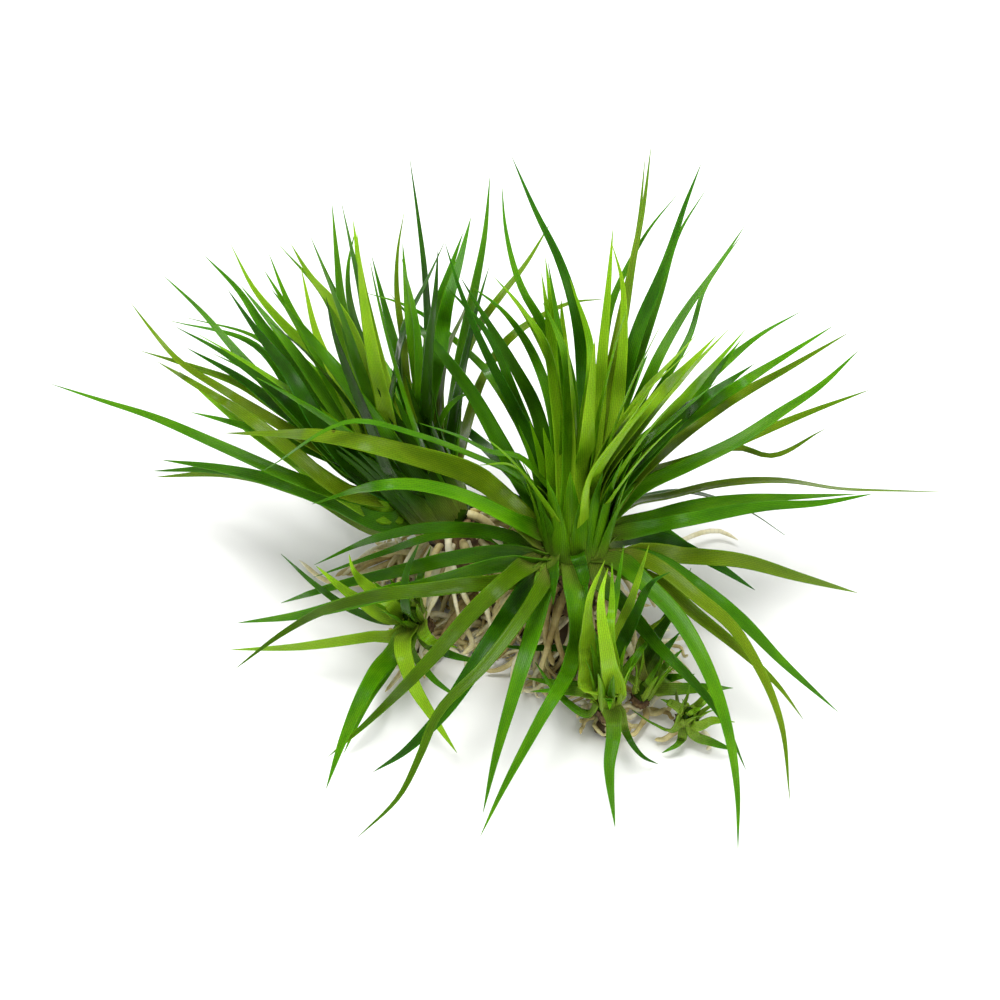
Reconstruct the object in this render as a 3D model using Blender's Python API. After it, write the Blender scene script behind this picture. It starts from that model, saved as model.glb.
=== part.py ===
"""A clump of pipewort, an aquarium plant: two large rosettes, one offset on the left and three in front.

Run it with blender --background --python part.py, or from Blender's text editor. Units are metres, +Z is up.
The clump rests on z = 0, and the origin is the middle of the flat spot under the main plant's roots.
"""

import math
import random
from typing import NamedTuple

import bmesh
import bpy
import numpy as np
from mathutils import Vector
from mathutils.kdtree import KDTree

MM = 0.001

# The view of the photograph, whose pixels say where each leaf runs
PIXEL = 0.224 * MM  # the width that a pixel spans at the main crown
VIEW_RISE = math.radians(45)
VIEW_DISTANCE = 0.75
PHOTO_CENTRE = (500, 500)
MAIN_CROWN_PIXEL = (575, 545)
MAIN_CROWN = np.array([0, 0, 33]) * MM
RIGHT = np.array([1.0, 0, 0])
UP = np.array([0, math.sin(VIEW_RISE), math.cos(VIEW_RISE)])
TOWARDS_EYE = np.array([0, -math.cos(VIEW_RISE), math.sin(VIEW_RISE)])

# Leaves
LEAF_DEPTH = 1.05 * MM  # from the upper face to the keel, at the foot
TIP_DEPTH = 0.65 * MM
TIP_WIDTH = 0.6 * MM
LEAF_STATIONS = (0, 0.17, 0.38, 0.6, 0.82, 1)
STRAIGHT_LEAF_STATIONS = (0, 0.2, 0.6, 1)
STRAIGHT_BEND = 0.035  # a leaf that bows less than this share of its length counts as straight
LEAF_FLOOR = 0.8 * MM  # the lowest that a leaf's middle line runs
TAPER = (1.9, 0.95)  # powers that set how late a blade narrows and how blunt its tip is
BLADE_FOOT = (0.15, 0.45)  # the share of the blade that lies in the crown, and its width at the start
MOST_ASLANT = 1.4  # the most that a blade is wider than it looks, because it is seen aslant
FACE_LEAN = 0.5  # how far a blade's face leans in to the plant's axis
TURN_TO_LIGHT = 0.35  # how far a blade's face turns to the light, which comes from the viewer's side
FOOT_REACH = 0.7  # of the crown's radius, where the leaves start
FOOT_RISE = 0.3  # of the crown's height, between the lowest and the highest start
ARCH_SHARES = (0.03, 0.15)  # how far a leaf arches, as a share of its length
ARCH_OF_LEVEL_LEAF = 0.1
ARCH_LOST_IN_CLIMB = 1.5  # for each metre that the tip stands above the foot
WHORL_JITTER = (0.1, math.radians(4), 0.07)  # of the turn, the tilt and the length
WHORL_OUT = 0.12  # how far a leaf of a whorl bends outward, for each of its lengths
WHORL_DROOP = 0.3  # how far it droops

# Roots
ROOT_WIDTH = 1.9 * MM
ROOT_TAPER = 0.45
ROOT_FACING = (0.2, 0.5, 1.0)  # only turns the corners of a root's sections
ROOT_STATIONS = (0, 0.25, 0.5, 0.75, 1)
ROOT_FLOOR = 1.2 * MM
ROOT_STEPS = 6
ROOT_STEP_LENGTHS = (3.6, 5.6)  # in mm, before the source's stride
ROOT_TRIES = 12  # for a root that keeps out of the rootstocks

# Settling: strands that would meet bend apart along the line of sight
STRAND_POINTS = 26
HELD_POINTS = 4  # at a strand's foot, which stay where they grow
SETTLE_SEARCHES = 10
ROUNDS_PER_SEARCH = 8
SEARCH_REACH = 6.5 * MM
CLEAR_OF_OTHERS = 0.66  # of the two widths together, from another plant's strands
CLEAR_OF_OWN = 0.68
THICKNESS_ROOM = 1.8 * MM
OWN_THICKNESS_ROOM = 0.72 * MM
SETTLE_STEP = 0.8  # of the move that a round asks for
SETTLE_SPREAD = (0.1, 0.22, 0.36, 0.22, 0.1)  # how a point's move is shared with its neighbours

JOINT_GAP = 0.3 * MM  # between a crown, its rootstock and the root mat
GOLDEN_TURN = math.radians(137.508)


class Leaf(NamedTuple):
    """A leaf read from the photograph: its tip's height and its width in mm, and pixels out to the tip.

    The arch is how far its middle rises above the straight line, in mm, where the usual rule doesn't hold.
    """

    tip_height: float
    width: float
    pixels: tuple
    arch: float = None


class Whorl(NamedTuple):
    """Leaves set by rule, turned by the golden angle. Tilts are in degrees from the axis, lengths in mm."""

    count: int
    turns: tuple
    tilts: tuple
    lengths: tuple
    width: float


class Plant(NamedTuple):
    """A rosette on its crown. Places and sizes are in mm, and the axis points up the crown."""

    centre: tuple
    axis: tuple
    crown_radius: float
    crown_height: float
    stock_height: float
    leaves: tuple
    whorls: tuple


class Strand(NamedTuple):
    """A leaf or root: its middle line, the width along it, its plant and the way that its face looks."""

    points: np.ndarray
    widths: np.ndarray
    plant: str
    facing: np.ndarray
    kind: str


def leaf(tip_height, width, *pixels, arch=None):
    return Leaf(tip_height, width, pixels, arch)


# The main rosette's leaves, as the photograph shows them
MAIN_BACK_LEAVES = (
    leaf(92, 4.2, (583, 385), (575, 310), (560, 262), (535, 210), (512, 157)),
    leaf(88, 3.6, (560, 400), (540, 320), (525, 295), (505, 225), (502, 186)),
    leaf(80, 3.2, (530, 440), (510, 400), (480, 340), (460, 290), (445, 243)),
    leaf(64, 4.4, (525, 490), (500, 445), (470, 392), (440, 352), (410, 317), (390, 294)),
    leaf(58, 3.0, (515, 415), (490, 375), (460, 345), (430, 319), (400, 303), (366, 293)),
    leaf(84, 4.6, (545, 450), (535, 410), (510, 360), (480, 310), (461, 278)),
    leaf(72, 3.4, (520, 410), (485, 330), (445, 285)),
    leaf(78, 3.8, (545, 385), (525, 340), (500, 308), (472, 287)),
    leaf(82, 3.8, (550, 360), (535, 330), (515, 300), (494, 277)),
    leaf(88, 3.6, (555, 400), (545, 345), (503, 286)),
    leaf(92, 3.8, (572, 450), (560, 340), (548, 262)),
    leaf(94, 3.8, (585, 430), (590, 345), (570, 279)),
    leaf(96, 3.8, (590, 480), (598, 420), (603, 350), (609, 280), (613, 228)),
    leaf(88, 4.2, (605, 470), (620, 380), (624, 320), (622, 280), (612, 244)),
    leaf(93, 3.2, (595, 480), (612, 380), (625, 310), (633, 260), (643, 210), (651, 147)),
    leaf(90, 2.8, (600, 420), (620, 320), (638, 230), (645, 159)),
    leaf(84, 3.4, (600, 400), (613, 300), (630, 262), (650, 228), (676, 196)),
    leaf(90, 4.4, (600, 470), (622, 385), (640, 325), (665, 265), (685, 205), (701, 164)),
    leaf(80, 3.4, (600, 470), (622, 410), (640, 355), (660, 295), (680, 232), (705, 191)),
    leaf(78, 3.6, (600, 480), (640, 400), (660, 355), (685, 312), (715, 270), (744, 227)),
    leaf(72, 2.4, (620, 450), (665, 380), (690, 335), (705, 288), (722, 262), (741, 236)),
)
MAIN_HEART_LEAVES = (
    leaf(88, 4.8, (570, 440), (562, 345), (543, 303)),
    leaf(88, 4.8, (574, 440), (567, 339)),
    leaf(92, 4.8, (588, 440), (595, 340)),
    leaf(84, 4.9, (600, 490), (640, 430), (690, 370), (728, 330)),
    leaf(87, 4.9, (600, 480), (640, 420), (716, 336)),
    leaf(78, 4.9, (610, 490), (660, 430), (745, 330)),
    leaf(73, 4.8, (615, 495), (670, 430), (741, 340)),
    leaf(89, 4.8, (600, 470), (640, 400), (695, 336)),
    leaf(91, 4.8, (595, 470), (630, 410), (690, 350)),
    leaf(74, 4.9, (620, 480), (650, 450), (690, 410), (754, 364)),
    leaf(69, 4.9, (620, 480), (680, 420), (743, 373)),
    leaf(80, 4.8, (610, 480), (650, 440), (715, 383)),
    leaf(91, 4.8, (590, 480), (630, 420), (659, 377)),
    leaf(86, 4.8, (592, 490), (620, 440), (659, 392)),
)
MAIN_RIGHT_LEAVES = (
    leaf(62, 3.8, (620, 470), (685, 405), (720, 368), (760, 335), (800, 312)),
    leaf(55, 3.6, (640, 460), (710, 405), (750, 378), (790, 353), (833, 326)),
    leaf(50, 3.2, (640, 475), (690, 430), (735, 398), (790, 367), (848, 333)),
    leaf(52, 3.6, (640, 490), (690, 465), (740, 440), (780, 413), (820, 386), (858, 351)),
    leaf(42, 3.0, (640, 480), (700, 458), (750, 437), (810, 412), (869, 390)),
    leaf(36, 3.0, (640, 490), (700, 460), (740, 448), (766, 456), (825, 429)),
    leaf(14, 3.0, (620, 510), (670, 497), (720, 485), (780, 481), (840, 489), (900, 491), (945, 492)),
    leaf(22, 3.4, (620, 530), (650, 520), (690, 508), (740, 500), (800, 497), (858, 494)),
    leaf(17, 3.2, (620, 535), (700, 518), (760, 507), (820, 503), (872, 494)),
    leaf(16, 3.6, (610, 510), (640, 500), (680, 492), (720, 500), (750, 512), (785, 535)),
    leaf(14, 3.4, (600, 550), (620, 538), (660, 538), (690, 550), (720, 567), (755, 590)),
    leaf(21, 3.2, (604, 541), (633, 530), (655, 528), (680, 540), (700, 552)),
    leaf(2, 4.0, (610, 560), (640, 550), (680, 554), (740, 560), (800, 577), (858, 593)),
)
MAIN_FRONT_LEAVES = (
    leaf(1, 4.4, (610, 560), (650, 562), (700, 590), (740, 620), (780, 660), (838, 712)),
    leaf(1, 3.0, (640, 560), (700, 600), (730, 625), (757, 665), (780, 720), (790, 800)),
    leaf(4, 3.4, (620, 570), (650, 580), (700, 618), (740, 650), (780, 688), (803, 719)),
    leaf(1, 3.6, (610, 560), (645, 585), (675, 615), (700, 655), (725, 720), (737, 790), (738, 850)),
    leaf(3, 3.2, (600, 580), (620, 600), (660, 648), (690, 678), (722, 718), (746, 770)),
    leaf(1, 3.8, (572, 580), (578, 620), (570, 665), (540, 720), (500, 795), (480, 837)),
    leaf(1, 3.8, (550, 570), (545, 585), (535, 625), (515, 690), (495, 760), (483, 813)),
    leaf(1, 4.8, (550, 570), (530, 590), (490, 645), (437, 720), (400, 755), (373, 772)),
    leaf(1, 2.6, (540, 590), (485, 665), (437, 715), (420, 755), (400, 795), (357, 838)),
    leaf(1, 3.8, (530, 565), (480, 605), (430, 660), (370, 720), (328, 757)),
    leaf(28, 3.0, (560, 540), (545, 525), (525, 519), (510, 528), (504, 540)),
    leaf(29, 3.0, (557, 558), (555, 580), (553, 605), arch=6),
    leaf(30, 3.0, (578, 556), (585, 580), (588, 602), arch=6),
)
MAIN_LEFT_LEAVES = (
    leaf(6, 4.2, (550, 555), (520, 550), (460, 555), (400, 570), (330, 587), (281, 603)),
    leaf(2, 4.4, (550, 560), (510, 560), (430, 582), (360, 600), (300, 615), (237, 623)),
    leaf(1, 3.2, (540, 565), (450, 587), (370, 597), (320, 612), (280, 635), (235, 669)),
    leaf(16, 2.8, (550, 550), (510, 535), (430, 527), (370, 540), (314, 565)),
    leaf(10, 2.0, (540, 550), (480, 533), (437, 535), (385, 552), (314, 577)),
    leaf(44, 4.2, (540, 540), (520, 520), (480, 480), (410, 455), (330, 437), (225, 433), arch=18),
    leaf(36, 3.0, (540, 535), (515, 522), (450, 492), (400, 484), (370, 487), (312, 504), arch=17),
    leaf(47, 1.8, (540, 500), (520, 480), (470, 455), (410, 433), (358, 421), (264, 470), arch=19),
    leaf(65, 3.4, (555, 500), (540, 480), (520, 458), (490, 452), (460, 437), (419, 423), arch=8),
    leaf(52, 3.0, (555, 510), (530, 480), (510, 465), (480, 465), arch=6),
)

# The left rosette's leaves
LEFT_OUTER_LEAVES = (
    leaf(30, 2.8, (340, 495), (300, 481), (220, 446), (150, 416), (100, 400), (51, 384)),
    leaf(20, 3.4, (400, 520), (330, 500), (280, 482), (220, 468), (162, 460)),
    leaf(14, 3.2, (395, 518), (320, 496), (220, 470), (152, 471)),
    leaf(9, 3.2, (395, 526), (300, 489), (230, 474), (155, 477)),
    leaf(55, 3.0, (370, 475), (280, 425), (220, 388), (180, 362), (150, 328), (131, 303)),
    leaf(46, 3.2, (380, 480), (280, 410), (240, 384), (200, 369), (141, 351)),
    leaf(40, 3.4, (340, 490), (290, 450), (240, 412), (200, 387), (158, 362)),
    leaf(32, 4.6, (390, 512), (345, 492), (295, 458), (238, 418), (180, 372)),
    leaf(60, 3.4, (350, 470), (300, 420), (235, 350), (200, 310), (164, 276)),
    leaf(54, 3.2, (340, 450), (255, 337), (188, 318)),
    leaf(50, 3.2, (330, 450), (250, 342), (171, 321)),
    leaf(58, 4.0, (370, 480), (305, 420), (280, 395), (225, 354), (176, 327)),
    leaf(50, 4.2, (380, 490), (310, 430), (270, 400), (240, 378), (187, 348)),
    leaf(44, 3.4, (360, 480), (250, 372), (214, 354)),
    leaf(62, 2.8, (455, 450), (465, 360), (480, 325), (500, 297), (525, 265), (550, 224)),
    leaf(48, 2.8, (455, 480), (467, 430), (485, 375), (510, 338), (540, 317), (570, 303), (604, 299)),
    leaf(52, 2.4, (438, 460), (438, 430), (460, 397), (480, 391)),
)
LEFT_UPRIGHT_LEAVES = (
    leaf(68, 4.8, (370, 460), (290, 360), (262, 325), (240, 292), (205, 256)),
    leaf(68, 4.8, (380, 460), (320, 360), (280, 320), (255, 290), (231, 245)),
    leaf(69, 5.0, (390, 490), (320, 425), (290, 375), (258, 333), (228, 290)),
    leaf(66, 4.5, (370, 450), (285, 340), (241, 286)),
    leaf(78, 4.5, (390, 460), (345, 390), (312, 345), (292, 310), (269, 254)),
    leaf(74, 4.5, (380, 450), (292, 315), (264, 270)),
    leaf(80, 4.5, (385, 440), (320, 290), (280, 246)),
    leaf(85, 5.0, (390, 430), (340, 310), (310, 275), (291, 244)),
    leaf(75, 4.6, (385, 460), (340, 385), (319, 340), (301, 268)),
    leaf(84, 4.8, (390, 430), (340, 308), (317, 251)),
    leaf(87, 4.5, (400, 440), (342, 300), (338, 265), (332, 204)),
    leaf(84, 4.5, (400, 430), (358, 275), (342, 205)),
    leaf(81, 4.5, (405, 430), (365, 300), (353, 220)),
    leaf(78, 4.2, (400, 420), (349, 260), (355, 232)),
    leaf(86, 5.0, (402, 450), (382, 390), (370, 335), (362, 285), (357, 233)),
    leaf(76, 4.6, (392, 480), (350, 408), (305, 352), (270, 322)),
    leaf(79, 5.0, (400, 480), (372, 425), (350, 375), (335, 335), (326, 297)),
    leaf(78, 2.8, (420, 440), (403, 335), (397, 290), (398, 250), (404, 213)),
    leaf(82, 3.0, (430, 420), (428, 310), (425, 270), (418, 215), (410, 160)),
    leaf(76, 3.2, (425, 420), (416, 320), (402, 259)),
    leaf(85, 5.0, (428, 470), (428, 420), (430, 350), (436, 290), (438, 250)),
    leaf(73, 4.8, (405, 460), (393, 430), (397, 370), (408, 320), (425, 285), (444, 243)),
    leaf(73, 4.2, (430, 430), (440, 300), (450, 270), (463, 233)),
    leaf(77, 4.5, (430, 440), (441, 350), (447, 305), (460, 260), (471, 217)),
    leaf(74, 3.8, (450, 470), (455, 420), (462, 360), (473, 300), (485, 235), (490, 176)),
    leaf(66, 4.0, (440, 430), (450, 345), (465, 310), (474, 273)),
)

# The offsets' leaves
LEFT_OFFSET_LEAVES = (
    leaf(19, 2.6, (390, 618), (355, 610), (320, 588), (281, 554)),
    leaf(26, 3.2, (400, 615), (355, 597), (316, 566)),
    leaf(32, 3.2, (400, 612), (385, 600), (352, 567), (349, 554)),
    leaf(1, 3.4, (400, 630), (370, 635), (300, 646), (229, 650)),
    leaf(1, 3.6, (405, 640), (375, 675), (345, 735), (326, 789)),
    leaf(1, 2.6, (398, 650), (368, 700), (344, 753)),
    leaf(3, 3.4, (405, 640), (410, 675), (435, 720), (457, 753)),
    leaf(4, 2.4, (412, 640), (430, 675), (461, 700)),
    leaf(11, 2.8, (425, 635), (458, 648)),
    leaf(5, 2.8, (425, 640), (445, 652), (483, 663)),
    leaf(42, 3.0, (412, 615), (405, 585), (420, 540)),
    leaf(27, 2.4, (415, 605), (420, 580), (431, 546)),
)
FRONT_OFFSET_LEAVES = (
    leaf(49, 4.6, (595, 695), (590, 660), (588, 630), (590, 600), (605, 560)),
    leaf(51, 3.8, (612, 692), (608, 660), (602, 590), (608, 568)),
    leaf(51, 2.6, (612, 680), (610, 640), (612, 600), (612, 562)),
    leaf(53, 2.6, (608, 680), (607, 640), (615, 600), (624, 545)),
    leaf(53, 2.8, (610, 680), (614, 655), (635, 590), (649, 545)),
    leaf(1, 3.0, (612, 715), (609, 770), (615, 827)),
    leaf(9, 2.8, (590, 712), (560, 695), (535, 662)),
    leaf(4, 2.4, (592, 690), (560, 684), (527, 678)),
    leaf(15, 2.6, (600, 680), (570, 652), (520, 648), (489, 644)),
    leaf(1, 2.0, (620, 712), (627, 735), (645, 758), (658, 764)),
    leaf(50, 3.0, (615, 680), (636, 615), (655, 580), (670, 572)),
)
SIDE_SHOOT_LEAVES = (
    leaf(30, 3.4, (645, 670), (655, 640), (678, 600), (691, 568)),
    leaf(20, 3.4, (655, 665), (680, 632)),
    leaf(24, 2.6, (640, 665), (642, 640), (665, 616)),
    leaf(6, 2.8, (665, 690), (700, 688), (733, 688)),
    leaf(11, 2.6, (660, 682), (695, 674)),
)
END_SHOOT_LEAVES = (
    leaf(2, 2.8, (694, 733), (712, 742), (733, 750)),
    leaf(7, 2.8, (695, 724), (714, 720), (735, 722)),
    leaf(1, 2.4, (680, 742), (662, 753)),
    leaf(9, 2.4, (690, 712), (702, 698)),
    leaf(11, 2.4, (682, 708), (676, 690)),
    leaf(4, 2.6, (672, 730), (652, 723), (632, 710)),
)

PLANTS = {
    "main": Plant(
        (0, 0, 33), (0, 0.18, 0.98), 8.4, 9, 11,
        MAIN_BACK_LEAVES + MAIN_HEART_LEAVES + MAIN_RIGHT_LEAVES + MAIN_FRONT_LEAVES + MAIN_LEFT_LEAVES,
        (
            Whorl(9, (-50, 230), (27, 4), (52, 64), 5.0),
            Whorl(6, (45, 135), (96, 66), (50, 62), 4.4),
        ),
    ),
    "left": Plant(
        (-31, 13.7, 32), (-0.55, 0.35, 0.75), 8.4, 10, 10,
        LEFT_OUTER_LEAVES + LEFT_UPRIGHT_LEAVES,
        (
            Whorl(8, (0, 360), (26, 4), (52, 66), 5.0),
            Whorl(6, (45, 150), (56, 34), (48, 62), 4.4),
        ),
    ),
    "left_offset": Plant(
        (-36.5, -4.8, 14.5), (-0.3, -0.3, 0.9), 3.6, 5.2, 4.2, LEFT_OFFSET_LEAVES,
        (Whorl(3, (0, 360), (45, 25), (11, 13), 2.8),),
    ),
    "front_offset": Plant(
        (7.4, -27, 12), (0, -0.1, 1), 3.6, 5.2, 3.6, FRONT_OFFSET_LEAVES,
        (Whorl(4, (0, 360), (60, 15), (14, 24), 2.8),),
    ),
    "side_shoot": Plant(
        (15.6, -21.5, 8.6), (0.25, 0, 1), 2.6, 3.8, 2.4, SIDE_SHOOT_LEAVES,
        (Whorl(3, (0, 360), (45, 10), (9, 13), 2.4),),
    ),
    "end_shoot": Plant(
        (25.2, -28.5, 8.1), (0.3, -0.3, 1), 2.4, 3.6, 2.4, END_SHOOT_LEAVES,
        (Whorl(3, (0, 360), (45, 10), (8, 11), 2.4),),
    ),
}
YOUNG_PLANTS = ("left_offset", "front_offset", "side_shoot", "end_shoot")
LEAF_NODES = {
    "main": "main_rosette",
    "left": "left_rosette",
    "left_offset": "left_offset_rosette",
    "front_offset": "front_offset_rosette",
    "side_shoot": "side_shoot_rosette",
    "end_shoot": "end_shoot_rosette",
}


def unit(vector):
    vector = np.asarray(vector, float)
    return vector / np.linalg.norm(vector)


def on_view_plane(pixel):
    across = (pixel[0] - MAIN_CROWN_PIXEL[0]) * PIXEL
    upward = (MAIN_CROWN_PIXEL[1] - pixel[1]) * PIXEL
    return MAIN_CROWN + RIGHT * across + UP * upward


EYE = on_view_plane(PHOTO_CENTRE) + TOWARDS_EYE * VIEW_DISTANCE


def on_ray(pixel, height):
    """The point at this height that the photograph shows at this pixel."""
    ray = on_view_plane(pixel) - EYE
    return EYE + ray * ((height - EYE[2]) / ray[2])


def pixel_of(point):
    """Where the photograph shows a point."""
    ray = point - EYE
    on_plane = EYE + ray * (-VIEW_DISTANCE / (ray @ TOWARDS_EYE)) - MAIN_CROWN
    return (
        MAIN_CROWN_PIXEL[0] + on_plane @ RIGHT / PIXEL,
        MAIN_CROWN_PIXEL[1] - on_plane @ UP / PIXEL,
    )


def smooth_path(points, count):
    """Evenly spaced points on a smooth curve through the given ones."""
    points = np.array(points, float)
    ends = np.concatenate([[0], np.cumsum(np.linalg.norm(np.diff(points, axis=0), axis=1))])
    slopes = np.gradient(points, ends, axis=0)
    places = np.linspace(0, ends[-1], count)
    first = np.clip(np.searchsorted(ends, places, side="right") - 1, 0, len(ends) - 2)
    span = (ends[first + 1] - ends[first])[:, None]
    t = (places - ends[first])[:, None] / span
    return (
        points[first] * (2 * t**3 - 3 * t**2 + 1)
        + slopes[first] * span * (t**3 - 2 * t**2 + t)
        + points[first + 1] * (3 * t**2 - 2 * t**3)
        + slopes[first + 1] * span * (t**3 - t**2)
    )


def leaf_widths(width):
    """A leaf keeps its width to the middle and then tapers to the tip. Its foot in the crown is narrow."""
    along = np.linspace(0, 1, STRAND_POINTS)
    late, blunt = TAPER
    taper = TIP_WIDTH + (width * MM - TIP_WIDTH) * (1 - along**late) ** blunt
    return taper * np.interp(along, (0, BLADE_FOOT[0]), (BLADE_FOOT[1], 1))


def face_of(plant, across):
    """The side that a leaf's upper face looks to: the axis, and a little the light."""
    return unit(unit(unit(plant.axis) - across * FACE_LEAN) + TOWARDS_EYE * TURN_TO_LIGHT)


def foot_of(plant, towards):
    """Where a leaf that sets out this way starts inside the crown, and its direction across the axis."""
    axis = unit(plant.axis)
    rise = math.asin(np.clip(unit(towards) @ axis, -FOOT_RISE, 0.98))
    across = unit(towards - axis * (towards @ axis))
    aside = plant.crown_radius * FOOT_REACH * math.sqrt(math.cos(rise))
    foot = across * aside + axis * math.sin(rise) * plant.crown_height * FOOT_RISE
    return np.array(plant.centre) * MM + foot * MM, across


def aslant(course, facing):
    """How much wider a blade is than the photograph shows it, for the way that its face looks."""
    course = unit(course)
    face = unit(facing - course * (facing @ course))
    return min(1 / max(abs(face @ TOWARDS_EYE), 0.1), MOST_ASLANT)


def read_strand(name, plant, leaf_read):
    """A photographed leaf in space: its pixels' rays meet heights from the crown's to the tip's."""
    tip = on_ray(leaf_read.pixels[-1], leaf_read.tip_height * MM)
    foot, across = foot_of(plant, tip - np.array(plant.centre) * MM)
    path = smooth_path([pixel_of(foot), *leaf_read.pixels], STRAND_POINTS)
    climb = tip[2] - foot[2]
    arch = np.linalg.norm(tip - foot) * np.clip(ARCH_OF_LEVEL_LEAF - ARCH_LOST_IN_CLIMB * climb, *ARCH_SHARES)
    if leaf_read.arch is not None:
        arch = leaf_read.arch * MM
    along = np.linspace(0, 1, STRAND_POINTS)
    heights = foot[2] + climb * along + arch * 4 * along * (1 - along)
    heights = np.maximum(heights, LEAF_FLOOR)
    points = np.array([on_ray(pixel, height) for pixel, height in zip(path, heights)])
    facing = face_of(plant, across)
    widths = leaf_widths(leaf_read.width * aslant(points[STRAND_POINTS // 2] - foot, facing))
    return Strand(points, widths, name, facing, "leaf")


def whorl_strands(name, plant, whorl, dice):
    """The leaves that others hide, and the young ones in the heart."""
    axis = unit(plant.axis)
    side = unit(np.cross(axis, [0, 1, 0]))
    back = np.cross(axis, side)
    first, last = (math.radians(turn) for turn in whorl.turns)
    turn_jitter, tilt_jitter, length_jitter = WHORL_JITTER
    strands = []
    for k in range(whorl.count):
        share = k / max(whorl.count - 1, 1)
        turn = first + (k * GOLDEN_TURN) % (last - first) + dice.uniform(-turn_jitter, turn_jitter)
        tilt = math.radians(np.interp(share, (0, 1), whorl.tilts)) + dice.uniform(-tilt_jitter, tilt_jitter)
        length = np.interp(share, (0, 1), whorl.lengths) * MM
        length *= 1 + dice.uniform(-length_jitter, length_jitter)
        across = side * math.cos(turn) - back * math.sin(turn)
        course = axis * math.cos(tilt) + across * math.sin(tilt)
        foot, _ = foot_of(plant, course)
        along = np.linspace(0, 1, STRAND_POINTS)[:, None]
        droop = across * WHORL_OUT - np.array([0, 0, WHORL_DROOP]) * math.sin(tilt)
        points = foot + length * (along * course + along**2 * droop)
        points[:, 2] = np.maximum(points[:, 2], LEAF_FLOOR)
        strands.append(Strand(points, leaf_widths(whorl.width), name, face_of(plant, across), "leaf"))
    return strands


# The root mat: where its roots set out from, in mm, how many there are, and how long their steps are
ROOT_SOURCES = (
    ((0, 0, 9), 15, 1),
    ((-9, 7, 9), 6, 1),
    ((-19, 13, 11), 10, 1),
    ((-33, 20, 6), 7, 0.8),
    ((-33, -2, 4), 4, 0.5),
    ((7, -24, 3), 3, 0.4),
    ((14, -6, 5), 5, 0.6),
)
# Roots that the photograph shows apart from the mat: the source, the tip's height in mm, pixels to the tip
SHOWN_ROOTS = (
    (0, 2, ((640, 555), (683, 540), (700, 533), (720, 531), (738, 540))),
    (4, 3, ((400, 590), (360, 585), (325, 580), (299, 560))),
    (4, 8, ((430, 615), (455, 620), (468, 632), (472, 645), (462, 655))),
    (0, 2, ((560, 620), (548, 640), (545, 660), (538, 680))),
    (0, 2, ((575, 625), (566, 645), (560, 662), (548, 677))),
    (0, 5, ((545, 585), (520, 600), (500, 615), (475, 637))),
    (4, 1.5, ((430, 620), (415, 650), (395, 680), (385, 692))),
    (6, 2, ((645, 640), (655, 655), (665, 678))),
    (0, 1.5, ((600, 620), (632, 640), (650, 652), (668, 648))),
    (2, 14, ((460, 555), (425, 542), (400, 545), (378, 555))),
    (2, 9, ((460, 570), (430, 562), (390, 570), (352, 578))),
    (3, 5, ((440, 560), (410, 550), (380, 560), (350, 574))),
)
MAT_LUMPS = (  # the matted middle: the centre of each flat lump's foot, its reach and its height, in mm
    ((0, 0, 0), (11, 10), 13.5),
    ((-10, 7, 0.6), (8, 7), 12),
    ((-19, 11, 0.6), (8.5, 8), 12.5),
    ((-33, 20, 0.6), (8.5, 6), 7.5),
    ((-33, -2.5, 0.6), (4.6, 4.2), 4.4),
    ((7.3, -25.5, 0.6), (4.4, 4.2), 3.2),
    ((13, -5, 0.6), (6, 5), 5),
)
MAT_RUNNERS = (  # old runners inside the mat, which tie the offsets to the large plants
    ((-19, 9, 5), (-33, -2, 3.4), 3),
    ((0, -4, 6), (7, -22, 2.8), 2.8),
    ((0, 0, 5), (-19, 11, 5), 4),
    ((-19, 12, 4), (-33, 20, 3.4), 3),
    ((2, -2, 3.5), (13, -5, 2.6), 2.6),
    ((6, -24, 2.4), (16, -21.5, 1.9), 1.6),
    ((15, -21.5, 1.8), (25, -28.2, 1.6), 1.35),
)
LUMP_SIDES = 10
CROWN_SIDES = 10
STOCK_SIDES = 9
RUNNER_SIDES = 6
STOCK_SHARE = 0.8  # of the crown's radius
SEAT_FLOOR = 1.5  # how near the ground a rootstock's seat reaches in the mat, in mm
DEEPEST_SEAT = 12


def root_strand(points):
    along = np.linspace(0, 1, STRAND_POINTS)
    widths = ROOT_WIDTH * (1 - ROOT_TAPER * along)
    return Strand(np.array(points), widths, "mat", np.array(ROOT_FACING), "root")


def wandering_root(source, turn, stride, dice):
    """A root that sets out level, sinks to the ground and wanders there."""
    heading = turn
    dip = dice.uniform(-0.15, 0.5)
    point = np.array(source, float)
    places = [point]
    bend = dice.uniform(-0.5, 0.5)
    for _ in range(ROOT_STEPS):
        step = dice.uniform(*ROOT_STEP_LENGTHS) * stride
        level = np.array([math.cos(heading), math.sin(heading), 0])
        point = point + (level * math.cos(dip) - np.array([0, 0, math.sin(dip)])) * step
        point[2] = max(point[2], ROOT_FLOOR / MM + dice.uniform(0, 2.5))
        places.append(point)
        heading += bend + dice.uniform(-0.5, 0.5)
        dip = min(dip + dice.uniform(0, 0.35), 1.0)
    return root_strand(smooth_path(places, STRAND_POINTS) * MM)


def clears_stocks(strand):
    """Whether a root keeps out of every crown and rootstock."""
    for plant in PLANTS.values():
        foot, top = (np.array(place) * MM for place in stock_span(plant))
        climb = unit(plant.axis)
        for point in strand.points:
            along = (point - foot) @ climb
            if -1.1 * MM < along < np.linalg.norm(top - foot) + plant.crown_height * MM:
                aside = np.linalg.norm(point - foot - climb * along)
                if aside < plant.crown_radius * MM + ROOT_WIDTH * 0.8:
                    return False
    return True


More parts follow.
